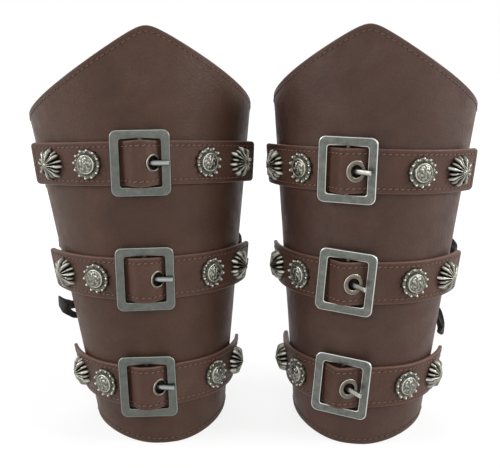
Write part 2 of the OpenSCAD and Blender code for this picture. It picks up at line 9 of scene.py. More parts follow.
import bpy
import numpy as np
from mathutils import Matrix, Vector


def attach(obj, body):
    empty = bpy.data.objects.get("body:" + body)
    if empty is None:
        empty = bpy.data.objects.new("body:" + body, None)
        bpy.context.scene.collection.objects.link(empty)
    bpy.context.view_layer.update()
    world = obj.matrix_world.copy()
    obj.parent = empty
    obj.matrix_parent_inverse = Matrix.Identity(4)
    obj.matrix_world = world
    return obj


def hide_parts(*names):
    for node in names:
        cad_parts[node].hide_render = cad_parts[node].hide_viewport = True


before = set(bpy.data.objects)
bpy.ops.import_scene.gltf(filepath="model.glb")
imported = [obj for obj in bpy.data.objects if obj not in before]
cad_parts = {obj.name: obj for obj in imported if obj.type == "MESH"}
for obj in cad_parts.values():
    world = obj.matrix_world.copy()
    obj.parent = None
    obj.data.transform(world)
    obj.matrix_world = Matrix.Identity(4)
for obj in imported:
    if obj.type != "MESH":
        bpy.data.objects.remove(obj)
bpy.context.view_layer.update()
MM = 0.001
SIDES = ["left", "right"]
BANDS = ["upper", "middle", "lower"]

# The part's own values. A list of two is for the left and the right cuff.

CUFF_H, LOW_HALF, TOP_HALF = 244.8, 86.0, 130.0
SHOULDER_DROP, SHOULDER_REACH, TIP_ROUND = 68.0, 112.0, 6.0
LOW_RISE, LOW_WAVE = 7.2, 60.0
LEATHER_T, LINING_T, LINING_SHORT = 2.0, 1.0, 0.8
CUFF_R = [38.6, 39.6]
WALL_SLOPE = [math.radians(8.8), math.radians(6.3)]
LEAN, SIDE_LEAN, FACING = [14, 9], [-1, 0.4], [12, -12.7]
STAND_X, MIDDLE = [-62.6, 62.2], (-7, 16)
FOOT_CUT = 0.5
STRAP_Y = [[169.6, 102.9, 38.0], [166.0, 101.8, 38.4]]
STRAP_FALL = [[1.5, 1, 0], [0, 0, 0]]
# How far the left and right end of each strap droop
STRAP_DROOP = [[(2.6, 3.6), (0.8, 1.6), (0.0, 2.2)], [(4.4, 1.8), (3.2, 0.3), (3.0, 1.2)]]
STRAP_L, STRAP_W, STRAP_T, STRAP_CORNER = 158.0, 25.0, 2.2, 3.0
STRAP_SHIFT, STRAP_GAP, LEATHER_GAP = -2.5, 0.5, 0.12
FLARE, FLARE_FROM, STRAP_SWELL = 4.4, 40.0, [0.7, 0.1]
BUCKLE_W, BUCKLE_H, BAR_W, FRAME_T, FRAME_CORNER = 33.6, 37.3, 5.2, 2.6, 4.0
PIN_R, PRONG_CLEAR, CURL_T = 1.4, 0.06, 1.14
BUCKLE_X = [[-7.1, -8.2, -10.2], [-8.2, -6.1, -6.1]]
BUCKLE_TILT = [[-1.2, -1, 0], [0, -3.5, -3.5]]
PRONG_W, PRONG_T, PRONG_REACH = 3.2, 1.8, 16.4
PRONG_ANGLE = [[11.5, 11.5, 11.5], [26, 36, 33]]
EYELET_AT = [[6.2, 6.2, 6.2], [4.7, 4.0, 4.2]]
EYELET_R, EYELET_HOLE_R = [5.2, 6.1], [3.8, 3.5]
STRAP_BOW, BOW_SOFT, EYELET_SLOPE = [0.65, 2.6], [0.8, 3.0], [0.85, 0.8]
EYELET_RIM, BARREL_T, BARREL_PLAY = 0.5, 0.4, 0.05
PETAL_AT, ROUND_AT, LIFT_OFF = 60.7, 34.7, 25.0
PETAL_R, PETAL_TOP, ROUND_R = 9.6, 6.0, 9.0
LACE_ROWS, LACE_INSET = [0, 43.1, 86.2, 129.4], 9.0
LACE_HOLE_R, LACE_RIM_R, LACE_RIM_T, LACE_W, LACE_T = 2.6, 4.75, 0.6, 6.0, 1.0
WALL_T = LEATHER_T + LINING_T
BACK_Y = CUFF_H - SHOULDER_DROP
CURL_R = PIN_R + PRONG_CLEAR + CURL_T
FRAME_W = CURL_R + 0.3
STRAP_UNDER = -(FRAME_T / 2 + 0.1 + STRAP_T / 2)
BAR_EDGE = BUCKLE_W / 2 - BAR_W
STRAP_TOP = STRAP_T + LEATHER_GAP
STRAP_SEAM, CUFF_SEAM, STITCH_PITCH = 2.9, 3.3, 3.5


def named(s, b, what):
    return f"{SIDES[s]}_{BANDS[b]}_{what}"


def circle(steps):
    """Angles evenly round a circle."""
    return np.linspace(0, 2 * np.pi, steps, endpoint=False)


def squarish(a, power):
    """Cosine and sine of angles, pushed out towards the corners of a square."""
    c, d = np.cos(a), np.sin(a)
    return np.sign(c) * np.abs(c) ** power, np.sign(d) * np.abs(d) ** power


def unit(rows):
    return rows / np.linalg.norm(rows, axis=1, keepdims=True)


# Rolled surface

def cone_start(s):
    return CUFF_R[s] / math.sin(WALL_SLOPE[s])


def rolled(s, x, y, w):
    """Points of the pattern on the cone, in the cuff's own axes."""
    x, y, w = np.broadcast_arrays(*(np.asarray(v, float) for v in (x, y, w)))
    sin, cos = math.sin(WALL_SLOPE[s]), math.cos(WALL_SLOPE[s])
    far = np.hypot(x, y + cone_start(s))
    radius = far * sin + w * cos
    turn = np.arctan2(x, y + cone_start(s)) / sin
    z = (far - cone_start(s)) * cos - w * sin
    return np.stack([radius * np.sin(turn), -radius * np.cos(turn), z], -1)


def turning(axis, degrees):
    a = math.radians(degrees)
    c, d = math.cos(a), math.sin(a)
    return np.array({
        "x": [[1, 0, 0], [0, c, -d], [0, d, c]],
        "y": [[c, 0, d], [0, 1, 0], [-d, 0, c]],
        "z": [[c, -d, 0], [d, c, 0], [0, 0, 1]],
    }[axis])


def tilted(s):
    return turning("y", SIDE_LEAN[s]) @ turning("x", -LEAN[s])


def tilted_z(s, p):
    return p @ tilted(s)[2]


def lift(s):
    """Height of a cuff's own origin over the floor."""
    return -tilted_z(s, rolled(s, 0, 0, 0)) - FOOT_CUT


def floor_y(s, x):
    """Pattern height at which the wall meets the floor."""
    low = tilted_z(s, rolled(s, x, 0, 0)) + lift(s)
    high = tilted_z(s, rolled(s, x, 10, 0)) + lift(s)
    return -10 * low / (high - low)


def stand(s, p):
    """Cuff axes to the frame, still in millimetres."""
    turn = turning("z", FACING[s]) @ tilted(s)
    return p @ turn.T + [STAND_X[s] - MIDDLE[0], -MIDDLE[1], lift(s)]


class Spot:
    """A place on the wall, with x along a strap, y up and z out of the leather."""

    def __init__(self, s, x, y, w=0):
        fan = math.atan2(x, y + cone_start(s))
        self.s = s
        self.turn = (
            turning("z", math.degrees(fan / math.sin(WALL_SLOPE[s])))
            @ turning("x", 90 + math.degrees(WALL_SLOPE[s]))
            @ turning("z", math.degrees(fan))
        )
        self.origin = rolled(s, x, y, 0) + self.turn[:, 2] * w

    def turned(self, axis, degrees):
        self.turn = self.turn @ turning(axis, degrees)
        return self

    def place(self, points):
        return stand(self.s, np.asarray(points, float) @ self.turn.T + self.origin)


def wall_radius(s, y):
    return (y + cone_start(s)) * math.sin(WALL_SLOPE[s])


def smooth(t):
    t = np.clip(t, 0, 1)
    return t * t * (3 - 2 * t)


def soft_min(a, b, k):
    return (a + b - np.sqrt((a - b) ** 2 + k * k)) / 2


def soft_max(a, b, k):
    return -soft_min(-a, -b, k)


def top_edge(x):
    reach = np.sqrt(np.square(x) + TIP_ROUND**2) - TIP_ROUND
    return CUFF_H - SHOULDER_DROP * np.tanh(reach / SHOULDER_REACH)


def low_edge(s, x):
    x = np.abs(x)
    wave = LOW_RISE * (1 - np.cos(np.pi * np.minimum(x / LOW_WAVE, 1))) / 2
    t = smooth((x - LOW_WAVE) / (LOW_HALF - LOW_WAVE - 6))
    return wave * (1 - t) + (floor_y(s, x) - FOOT_CUT) * t


def side_edge(y):
    return LOW_HALF + (TOP_HALF - LOW_HALF) * y / BACK_Y


def lace_x(y):
    return side_edge(y) - LACE_INSET


def lace_heights(s):
    low = STRAP_Y[s][2] - STRAP_W / 2 - STRAP_GAP - LACE_RIM_R
    return [low + up for up in LACE_ROWS]


def band_y(s, b, x):
    """Height of a strap's middle line at x."""
    left, right = STRAP_DROOP[s][b]
    far = (x - STRAP_SHIFT) / (STRAP_L / 2)
    droop = left * np.maximum(-far, 0) ** 1.5 + right * np.maximum(far, 0) ** 1.5
    return STRAP_Y[s][b] - x * math.tan(math.radians(STRAP_FALL[s][b])) - droop


def strap_height(s, b, u):
    """Height of a strap's middle above the leather at distance u from its buckle."""
    r = wall_radius(s, STRAP_Y[s][b])
    over = CURL_R + STRAP_BOW[s] + STRAP_T / 2
    bow = u * u / (2 * r)
    rest = STRAP_T / 2 + LEATHER_GAP + np.maximum(0, LIFT_OFF - np.abs(u)) ** 2 / (2 * r)
    bed = np.where(np.abs(u) > LIFT_OFF, rest, soft_min(rest, FRAME_W + STRAP_UNDER + bow, 0.3))
    rise = STRAP_UNDER + 0.95 * (u + BAR_EDGE - 1.1)
    fall = STRAP_UNDER - EYELET_SLOPE[s] * (u - BAR_EDGE + 0.9)
    hump = soft_min(soft_min(rise, fall, BOW_SOFT[s]), over, 0.8) + FRAME_W + bow
    return np.where(np.abs(u) > BAR_EDGE + 5, bed, soft_max(bed, hump, 0.5))


def strap_pitch(s, b, u):
    return np.arctan((strap_height(s, b, u + 0.2) - strap_height(s, b, u - 0.2)) / 0.4)


def strap_half(e):
    """Half the width of a strap at distance e from its end."""
    e = np.minimum(e, STRAP_CORNER)
    inset = STRAP_CORNER - np.sqrt(STRAP_CORNER**2 - (STRAP_CORNER - e) ** 2)
    return STRAP_W / 2 - inset


def flare(x):
    """How far a strap's stiff ends stand off the leather, and the slope there."""
    far = np.maximum(np.abs(x - STRAP_SHIFT) - FLARE_FROM, 0)
    k = FLARE / (STRAP_L / 2 - FLARE_FROM) ** 2
    return k * far**2, 2 * k * far * np.sign(x - STRAP_SHIFT)


def on_strap(s, b, x, y, off):
    """Point of a strap at pattern x, height y and distance off from its middle layer."""
    u = x - BUCKLE_X[s][b]
    up, slope = flare(x)
    tip = strap_pitch(s, b, u) + np.arctan(slope)
    swell = STRAP_SWELL[s] * np.cos(np.clip(u / 20, -0.5, 0.5) * np.pi) ** 2
    y = y + (y - band_y(s, b, x)) * swell / (STRAP_W / 2)
    w = strap_height(s, b, u) + up + off * np.cos(tip)
    return rolled(s, x - off * np.sin(tip), y, w)


# Objects and meshes. A shape is its points, its faces, and values by name for each point.

def add_object(name, data):
    thing = bpy.data.objects.new(name, data)
    bpy.context.scene.collection.objects.link(thing)
    return thing


def add_mesh(name, shape, materials, replaces=(), body="cuffs", face_material=None,
             crease=40):
    """One piece of the object, from a shape in millimetres in the frame."""
    points, faces, values = shape
    mesh = bpy.data.meshes.new(name)
    mesh.from_pydata((np.asarray(points) * MM).tolist(), [], [list(f) for f in faces])
    for key, data in values.items():
        layer = mesh.attributes.new(key, "FLOAT", "POINT")
        layer.data.foreach_set("value", np.asarray(data, np.float32).ravel())
    for material in materials:
        mesh.materials.append(material)
    if face_material is not None:
        mesh.polygons.foreach_set("material_index", np.asarray(face_material, np.int32))
    mesh.shade_smooth()
    mesh.set_sharp_from_angle(angle=math.radians(crease))
    piece = add_object(name, mesh)
    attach(piece, body)
    if replaces:
        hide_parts(*replaces)
    return piece


def joined(parts):
    """Several shapes as one, each value filled with 0 where it is missing."""
    keys = sorted({key for part in parts for key in part[2]})
    points, faces, values, start = [], [], {key: [] for key in keys}, 0
    for p, f, v in parts:
        points.append(p)
        faces += [[i + start for i in face] for face in f]
        for key in keys:
            values[key].append(np.broadcast_to(v.get(key, 0.0), len(p)))
        start += len(p)
    return np.concatenate(points), faces, {k: np.concatenate(v) for k, v in values.items()}


def lofted(rings, closed=False, caps=True, flip=False):
    """Faces through rings of equally many points; closed joins the last to the first."""
    m, n = rings.shape[:2]
    faces = []
    for i in range(m if closed else m - 1):
        a, c = i * n, (i + 1) % m * n
        for j in range(n):
            k = (j + 1) % n
            faces.append((a + j, a + k, c + k, c + j))
    if caps and not closed:
        faces += [tuple(range(n))[::-1], tuple(range((m - 1) * n, m * n))]
    return rings.reshape(-1, 3), [f[::-1] for f in faces] if flip else faces


def lathe(profile, steps):
    """Closed profile of (r, z) turned about z."""
    r, z = np.asarray(profile, float).T
    a = circle(steps)[:, None]
    rings = np.stack([r * np.cos(a), r * np.sin(a), np.broadcast_to(z, (steps, len(z)))], -1)
    return lofted(rings, closed=True, flip=True)


def border_lines(count, length, near=(0, 0.08, 0.3, 0.7, 1.5, 2.6)):
    """Places from 0 to 1 along a length that are dense near both ends."""
    near = np.asarray(near) / length
    inner = np.linspace(near[-1], 1 - near[-1], count)
    return np.concatenate([near[:-1], inner, (1 - near[:-1])[::-1]])


def around(cells):
    """Whether any of the four cells at each inner corner of a grid is set."""
    return cells[:-1, :-1] | cells[1:, :-1] | cells[:-1, 1:] | cells[1:, 1:]


def shell(x, y, to_space, holes):
    """Closed skin of a thick sheet laid out as a grid, with round holes punched through.

    to_space(x, y, layer) gives the grid's points, layer 0 outside and 1 inside.
    A hole is (x, y, radius, stretch of x). Returns points, faces and the kept corners."""
    x, y = x.copy(), y.copy()
    n, m = x.shape
    keep = np.ones((n - 1, m - 1), bool)
    for hx, hy, r, stretch in holes:
        dx, dy = (x - hx) * stretch, y - hy
        far = np.hypot(dx, dy)
        gone = around(far < r)
        rim = around(np.pad(gone, 1)) & around(np.pad(~gone, 1))
        x[rim] = hx + dx[rim] * r / far[rim] / stretch
        y[rim] = hy + dy[rim] * r / far[rim]
        keep &= ~gone
    points = np.concatenate([to_space(x, y, layer).reshape(-1, 3) for layer in (0, 1)])
    faces, half = [], n * m
    padded = np.pad(keep, 1)
    for i, j in zip(*np.nonzero(keep)):
        a, c = i * m + j, (i + 1) * m + j
        loop = (a, a + 1, c + 1, c)
        faces += [loop, tuple(k + half for k in loop[::-1])]
        beside = (padded[i, j + 1], padded[i + 1, j + 2], padded[i + 2, j + 1], padded[i + 1, j])
        for kept, p, q in zip(beside, loop, loop[1:] + loop[:1]):
            if not kept:
                faces.append((p, p + half, q + half, q))
    used = np.unique([k for face in faces for k in face])
    index = np.full(2 * half, -1)
    index[used] = np.arange(len(used))
    return points[used], [tuple(index[list(face)]) for face in faces], used


def rounding(distances, r):
    """How far a face falls within r of the borders at the given distances."""
    total = sum((1 - np.clip(d / r, 0, 1)) ** 2 for d in distances)
    return r * (1 - np.sqrt(1 - np.clip(total, 0, 1)))


# Colours and materials

def linear(colour):
    """An 8-bit screen colour as linear RGBA."""
    c = np.asarray(colour) / 255
    return (*np.where(c <= 0.04045, c / 12.92, ((c + 0.055) / 1.055) ** 2.4), 1.0)


def empty_tree(owner):
    owner.use_nodes = True
    owner.node_tree.nodes.clear()
    return owner.node_tree


def fill(tree, node, inputs):
    """Set a node's inputs, each a value or the output of another node."""
    for key, value in inputs.items():
        if isinstance(value, bpy.types.NodeSocket):
            tree.links.new(value, node.inputs[key])
        else:
            node.inputs[key].default_value = value


def add_node(tree, kind, inputs={}, **settings):
    node = tree.nodes.new(kind)
    for key, value in settings.items():
        setattr(node, key, value)
    fill(tree, node, inputs)
    return node


class Paint:
    """A material that is built node by node. Its colours are given as 8-bit ones."""

    def __init__(self, name, **shader):
        self.material = bpy.data.materials.new(name)
        self.tree = empty_tree(self.material)
        self.shader = self.node("ShaderNodeBsdfPrincipled", shader)
        self.node("ShaderNodeOutputMaterial", {"Surface": self.shader.outputs["BSDF"]})
        self.place = self.node("ShaderNodeTexCoord").outputs["Object"]

    def node(self, kind, inputs={}, **settings):
        return add_node(self.tree, kind, inputs, **settings)

    def noise(self, scale, detail, roughness, stretch=None, distortion=0.0):
        place = self.place
        if stretch:
            mapping = {"Vector": place, "Scale": stretch}
            place = self.node("ShaderNodeMapping", mapping).outputs[0]
        return self.node("ShaderNodeTexNoise", {
            "Vector": place, "Scale": scale, "Detail": detail, "Roughness": roughness,
            "Distortion": distortion,
        }).outputs["Fac"]

    def cells(self, scale):
        inputs = {"Vector": self.place, "Scale": scale}
        return self.node("ShaderNodeTexVoronoi", inputs).outputs["Distance"]

    def value(self, name):
        return self.node("ShaderNodeAttribute", attribute_name=name).outputs["Fac"]

    def math(self, operation, a, b, clamp=False):
        return self.node(
            "ShaderNodeMath", {0: a, 1: b}, operation=operation, use_clamp=clamp
        ).outputs[0]

    def times(self, a, b, clamp=False):
        return self.math("MULTIPLY", a, b, clamp)

    def ramp(self, factor, *stops):
        """stops are (place, number) or (place, colour)."""
        n = self.node("ShaderNodeValToRGB", {"Fac": factor})
        elements = n.color_ramp.elements
        while len(elements) < len(stops):
            elements.new(0.5)
        for element, (place, level) in zip(elements, stops):
            element.position = place
            is_colour = isinstance(level, tuple)
            element.color = linear(level) if is_colour else (level, level, level, 1)
        return n.outputs["Color"]

    def mix(self, factor, a, b):
        a, b = (linear(c) if isinstance(c, tuple) else c for c in (a, b))
        return self.node(
            "ShaderNodeMix", {0: factor, 6: a, 7: b}, data_type="RGBA"
        ).outputs[2]

    def finished(self, colour, roughness, *bumps):
        """Each bump is (height, distance in metres, strength), the broadest first."""
        below = {}
        for height, distance, strength in bumps:
            inputs = {"Height": height, "Distance": distance, "Strength": strength}
            bump = self.node("ShaderNodeBump", inputs | below)
            below = {"Normal": bump.outputs["Normal"]}
        fill(self.tree, self.shader, {"Base Color": colour, "Roughness": roughness} | below)
        return self.material


def leather(name, dark, base, light, warm, edge, rough=(0.42, 0.62)):
    """Smooth grained leather, mottled from dark to light, with burnished edges."""
    p = Paint(name, **{"Specular IOR Level": 0.28})
    cloud = p.noise(34, 6, 0.62, distortion=0.6)
    patch = p.noise(110, 5, 0.6)
    grain = p.cells(820)
    pore = p.noise(2400, 2, 0.5)
    colour = p.ramp(cloud, (0.14, dark), (0.5, base), (0.88, light))
    colour = p.mix(p.ramp(patch, (0.35, 0.0), (0.62, 0.3)), colour, warm)
    colour = p.mix(p.ramp(grain, (0.25, 0.0), (0.75, 0.22)), colour, dark)
    colour = p.mix(p.value("edge"), colour, edge)
    # Painted shade: the leather goes towards a near black brown where the shade value is set,
    # along its stitch grooves.
    dirt = p.times(p.value("dirt"), 0.75, clamp=True)
    return p.finished(
        p.mix(dirt, colour, (34, 23, 20)), p.ramp(patch, (0.3, rough[0]), (0.7, rough[1])),
        (cloud, 0.0012, 0.25), (grain, 0.00022, 0.5), (pore, 0.00006, 0.35),
    )


def suede(name, base, light):
    p = Paint(name, **{"Specular IOR Level": 0.2, "Sheen Weight": 0.15})
    nap = p.noise(1700, 5, 0.7)
    cloud = p.noise(45, 5, 0.6)
    colour = p.mix(p.ramp(cloud, (0.35, 0.0), (0.68, 1.0)), base, light)
    colour = p.mix(p.times(nap, 0.3), colour, (60, 45, 36))
    colour = p.mix(p.value("edge"), colour, (96, 76, 62))
    return p.finished(colour, p.ramp(nap, (0.3, 0.85), (0.7, 0.95)), (nap, 0.0002, 0.7))


def metal(name, base, worn, dark, rough=(0.28, 0.42), scratch=0.5, speckle=0.3):
    """Metal with mottled wear, painted shade in its recesses and painted highlights in the worn
    colour on what stands out.
    """
    p = Paint(name, Metallic=1.0)
    blotch = p.noise(260, 5, 0.62)
    fine = p.noise(1500, 4, 0.6)
    lines = p.noise(700, 3, 0.6, stretch=(0.15, 1.6, 1.0))
    colour = p.mix(p.ramp(blotch, (0.35, 0.0), (0.75, 0.16)), base, worn)
    colour = p.mix(p.ramp(fine, (0.45, 0.0), (0.75, speckle)), colour, dark)
    # Painted highlight: the worn colour is laid where the highlight value is set.
    colour = p.mix(p.times(p.value("rim"), 0.85, clamp=True), colour, worn)
    wear = p.math("ADD", p.times(fine, 0.5), p.times(lines, 0.5))
    return p.finished(
        # Painted shade: the dark colour is laid where the shade value is set.
        p.mix(p.value("dirt"), colour, dark), p.ramp(wear, (0.35, rough[0]), (0.65, rough[1])),
        (blotch, 0.0002, scratch / 2), (lines, 0.00005, scratch), (fine, 0.00003, scratch),
    )


def thread(name, base, dark):
    p = Paint(name, **{"Specular IOR Level": 0.3})
    twist = p.noise(2600, 2, 0.5)
    colour = p.mix(p.ramp(twist, (0.35, 0.0), (0.7, 1.0)), dark, base)
    return p.finished(colour, 0.7, (twist, 0.00012, 0.6))


def woven(name, base, light, strand=2.1):
    """Flat braided lace: strands of the given width cross it in two slants."""
    p = Paint(name, **{"Specular IOR Level": 0.35, "Sheen Weight": 0.2})
    along, across = (p.times(p.value(way), math.tau / strand) for way in ("along", "across"))
    one, two = (p.math("SINE", p.math(way, along, across), 0) for way in ("ADD", "SUBTRACT"))
    weave = p.times(p.math("ADD", p.times(one, two), 1.0), 0.5)
    fuzz = p.noise(3000, 3, 0.6)
    colour = p.mix(p.ramp(weave, (0.2, 0.0), (0.8, 1.0)), base, light)
    return p.finished(
        p.mix(p.times(fuzz, 0.4), colour, base), p.ramp(fuzz, (0.3, 0.6), (0.7, 0.8)),
        (weave, 0.00035, 0.8), (fuzz, 0.00008, 0.5),
    )


def plastic(name, base, light):
    p = Paint(name, **{"Specular IOR Level": 0.5})
    haze = p.noise(900, 3, 0.6)
    return p.finished(p.mix(haze, base, light), p.ramp(haze, (0.3, 0.3), (0.7, 0.45)))


CUFF_PAINT = [
    leather("left_cuff_hide", (53, 37, 30), (77, 55, 43), (95, 70, 56), (82, 52, 42),
            (98, 72, 60)),
    leather("right_cuff_hide", (51, 36, 32), (77, 56, 48), (96, 73, 64), (86, 52, 44),
            (100, 74, 64)),
]
STRAP_PAINT = leather("strap_hide", (54, 37, 30), (81, 57, 46), (97, 72, 59), (88, 55, 46),
                      (120, 88, 76), rough=(0.4, 0.56))
LINING_PAINT = suede("lining_suede", (98, 76, 60), (122, 98, 78))
# For each metal the second colour is also its painted highlight and the third also its painted
# shade.
BUCKLE_PAINT = [
    metal("gunmetal", (94, 96, 92), (176, 178, 172), (34, 36, 36), rough=(0.3, 0.4),
          scratch=0.2, speckle=0.12),
    metal("old_silver", (98, 100, 96), (218, 219, 213), (58, 58, 55), scratch=0.45,
          speckle=0.35),
]
PRONG_PAINT = [
    metal("gun_prong", (98, 101, 99), (186, 189, 186), (40, 42, 42), rough=(0.22, 0.32),
          scratch=0.25, speckle=0.15),
    metal("silver_prong", (138, 138, 133), (214, 213, 206), (60, 58, 54), scratch=0.6,
          speckle=0.5),
]
CONCHO_PAINT = metal("concho_silver", (122, 121, 111), (208, 206, 194), (24, 21, 18),
                     scratch=0.4)
RING_PAINT = metal("strap_eyelet_metal", (102, 97, 88), (206, 200, 184), (34, 31, 28),
                   scratch=0.25, speckle=0.2)
EYELET_PAINT = metal("eyelet_metal", (108, 104, 96), (160, 156, 146), (46, 40, 35),
                     scratch=0.3)
RIVET_PAINT = metal("rivet_metal", (118, 114, 106), (150, 146, 138), (60, 54, 48))
THREAD_PAINT = thread("thread", (148, 112, 97), (104, 73, 62))
CUFF_THREAD_PAINT = thread("cuff_thread", (124, 98, 86), (90, 67, 58))
# Painted shade: a near black thread colour for the dots that stand for the needle holes.
HOLE_SHADE_PAINT = thread("needle_hole_shade", (46, 31, 27), (32, 21, 18))
LACE_PAINT = woven("lace_weave", (24, 21, 20), (62, 57, 54))
TIP_PAINT = plastic("lace_tip", (22, 22, 24), (40, 40, 42))


# Cuffs

MEAN_HALF = 110.0


def cuff_corners(s):
    """Half widths at the lower and upper back corners, where two edges meet."""
    low, top = LOW_HALF, TOP_HALF
    for _ in range(60):
        low, top = side_edge(low_edge(s, low)), side_edge(top_edge(top))
    return low, top


def cuff_grid(s, across, up):
    """Pattern places of a cuff's grid, and their distances from its borders."""
    xb, xt = cuff_corners(s)
    u = 2 * border_lines(across, 2 * MEAN_HALF) - 1
    low = np.stack([u * xb, low_edge(s, u * xb)])
    high = np.stack([u * xt, top_edge(u * xt)])
    length = np.hypot(*(high - low))
    t = np.stack([border_lines(up, one) for one in length], 1)
    x, y = low[:, None] * (1 - t) + high[:, None] * t
    ends = np.minimum(t, 1 - t) * length
    sides = (1 - np.abs(u)) * MEAN_HALF * np.ones_like(t)
    return x, y, ends, sides


def hollows(s, x, y):
    """Depth of the shallow, uneven hollows of worn leather."""
    swell = (np.sin(x * 0.071 + y * 0.043 + s) + np.sin(x * -0.052 + y * 0.09 + 2 * s)
             + 0.6 * np.sin(x * 0.13 - y * 0.11 + 1.7))
    return 0.11 * (2.6 - swell) / 2


def cuff_layer(s, w_out, w_in, r_out, r_in, floor, worn):
    """Shell of one layer of a cuff between two depths, with rounded borders."""
    x0, y0, ends, sides = cuff_grid(s, 128, 92)
    drops = [rounding((ends, sides), r) for r in (r_out, r_in)]

    def to_space(x, y, layer):
        w = w_out - drops[0] if layer == 0 else w_in + drops[1]
        if layer == 0 and worn:
            w = w - hollows(s, x, y) * smooth(np.minimum(ends, sides) / 12)
        p = stand(s, rolled(s, x, y, w))
        p[..., 2] = np.maximum(p[..., 2], floor)
        return p

    r = LACE_HOLE_R + BARREL_T + BARREL_PLAY
    holes = [(way * lace_x(y), y, r, 1) for y in lace_heights(s) for way in (-1, 1)]
    return *shell(x0, y0, to_space, holes), np.minimum(ends, sides).ravel()


def make_cuff(s):
    side = SIDES[s]
    points, faces, used, border = cuff_layer(s, 0, -LEATHER_T, 0.7, 0.35, 0.0, True)
    half = len(border)
    d = border[used % half]
    edge = np.where(used < half, np.exp(-((d / 0.55) ** 2)) * 0.75, 0.7 * (d < 0.3))
    # Painted shade in a band along the stitch line of the outer face, standing in for the shade
    # of a stitch groove.
    dirt = 0.5 * np.exp(-(((d - CUFF_SEAM) / 0.7) ** 2)) * (used < half)
    add_mesh(f"{side}_cuff", (points, faces, {"edge": edge, "dirt": dirt}), [CUFF_PAINT[s]],
             [f"{side}_cuff_leather"])
    points, faces, used, border = cuff_layer(
        s, -LEATHER_T + 0.02, -WALL_T, 0.3, 0.3, LINING_SHORT, False
    )
    edge = 1.0 * (border[used % half] < 0.4)
    add_mesh(f"{side}_lining", (points, faces, {"edge": edge}), [LINING_PAINT],
             [f"{side}_cuff_lining"])


def make_strap(s, b):
    left = STRAP_SHIFT - STRAP_L / 2
    t = border_lines(130, STRAP_L, (0, 0.08, 0.3, 0.7, 1.5, 3))
    v = 2 * border_lines(17, STRAP_W, (0, 0.08, 0.3, 0.7, 1.5)) - 1
    x0 = np.broadcast_to(left + STRAP_L * t, (len(v), len(t))).copy()
    ends = np.minimum(x0 - left, left + STRAP_L - x0)
    half = strap_half(ends)
    y0 = band_y(s, b, x0) + half * v[:, None]
    sides = (1 - np.abs(v))[:, None] * half
    near = np.minimum(ends, sides)
    drop = rounding((ends, sides), 0.75)
    groove = 0.14 * np.exp(-(((near - STRAP_SEAM) / 0.55) ** 2))

    def to_space(x, y, layer):
        off = STRAP_T / 2 - drop - groove if layer == 0 else drop - STRAP_T / 2
        return stand(s, on_strap(s, b, x, y, off))

    x = BUCKLE_X[s][b] + EYELET_AT[s][b]
    stretch = 1 / math.cos(strap_pitch(s, b, EYELET_AT[s][b]))
    hole = (x, band_y(s, b, x), EYELET_HOLE_R[s] + BARREL_T + BARREL_PLAY, stretch)
    points, faces, used = shell(x0, y0, to_space, [hole])
    d = near.ravel()[used % near.size]
    outside = used < near.size
    edge = np.where(outside, smooth((0.75 - d) / 0.5) * 0.9, 0.9 * (d < 0.5))
    # Painted shade along the stitch groove of the outer face.
    dirt = np.where(outside, 0.4 * np.exp(-(((d - STRAP_SEAM) / 0.5) ** 2)), 0)
    add_mesh(named(s, b, "belt"), (points, faces, {"edge": edge, "dirt": dirt}),
             [STRAP_PAINT], [named(s, b, "strap")])


# Stitching

def grain(length, width, height, steps=8, rings=5):
    """One stitch, an ellipsoid along x."""
    a = circle(steps)
    k = np.linspace(-0.94, 0.94, rings)
    r = np.sqrt(1 - np.abs(k) ** 2.6)
    loops = np.stack([
        np.broadcast_to(k[:, None] * length / 2, (rings, steps)),
        r[:, None] * np.cos(a) * width / 2,
        r[:, None] * np.sin(a) * height / 2,
    ], -1)
    return lofted(loops)


def even(points, pitch):
    """Places at even distances along a polyline, as fractional indices."""
    step = np.linalg.norm(np.diff(points, axis=0), axis=1)
    far = np.concatenate([[0], np.cumsum(step)])
    count = max(2, int(round(far[-1] / pitch)))
    return np.interp((np.arange(count) + 0.5) * far[-1] / count, far, np.arange(len(points)))


def stitches(flat, surface, length, width, slant):
    """Shape of the stitches and of the dark dots of painted shade that stand for the needle holes
    along a pattern line, and each face's kind.
    """
    def at(index, dx=0.0, dy=0.0):
        x, y = (np.interp(index, np.arange(len(flat)), line) for line in flat.T)
        return surface(x + dx, y + dy)

    middle = even(surface(*flat.T), STITCH_PITCH)
    gaps = (middle[1:] + middle[:-1]) / 2
    parts, kinds = [], []
    shapes = ((middle, grain(length, width, width * 0.7), slant, 0.10),
              (gaps, grain(0.6, 0.6, 0.3, rings=4), 0, 0.0))
    for kind, (places, (mesh, faces), turn, raised) in enumerate(shapes):
        here = at(places)
        along = unit(at(places + 0.05) - at(places - 0.05))
        out = unit(np.cross(at(places, dx=0.1) - here, at(places, dy=0.1) - here))
        axes = np.stack([along, np.cross(out, along), out], 1)
        turned = mesh @ turning("z", turn).T @ axes
        for one in (here + out * raised)[:, None] + turned:
            parts.append((one, faces, {}))
            kinds += [kind] * len(faces)
    return joined(parts), kinds


def corner_arcs(w, h, r, steps):
    """The round corners of a rectangle about the origin, anticlockwise from the right."""
    x, y = w / 2 - r, h / 2 - r
    arcs = []
    for k, centre in enumerate(((x, -y), (x, y), (-x, y), (-x, -y))):
        a = np.radians(np.linspace(90 * k - 90, 90 * k, steps))
        arcs.append(centre + r * np.stack([np.cos(a), np.sin(a)], 1))
    return arcs


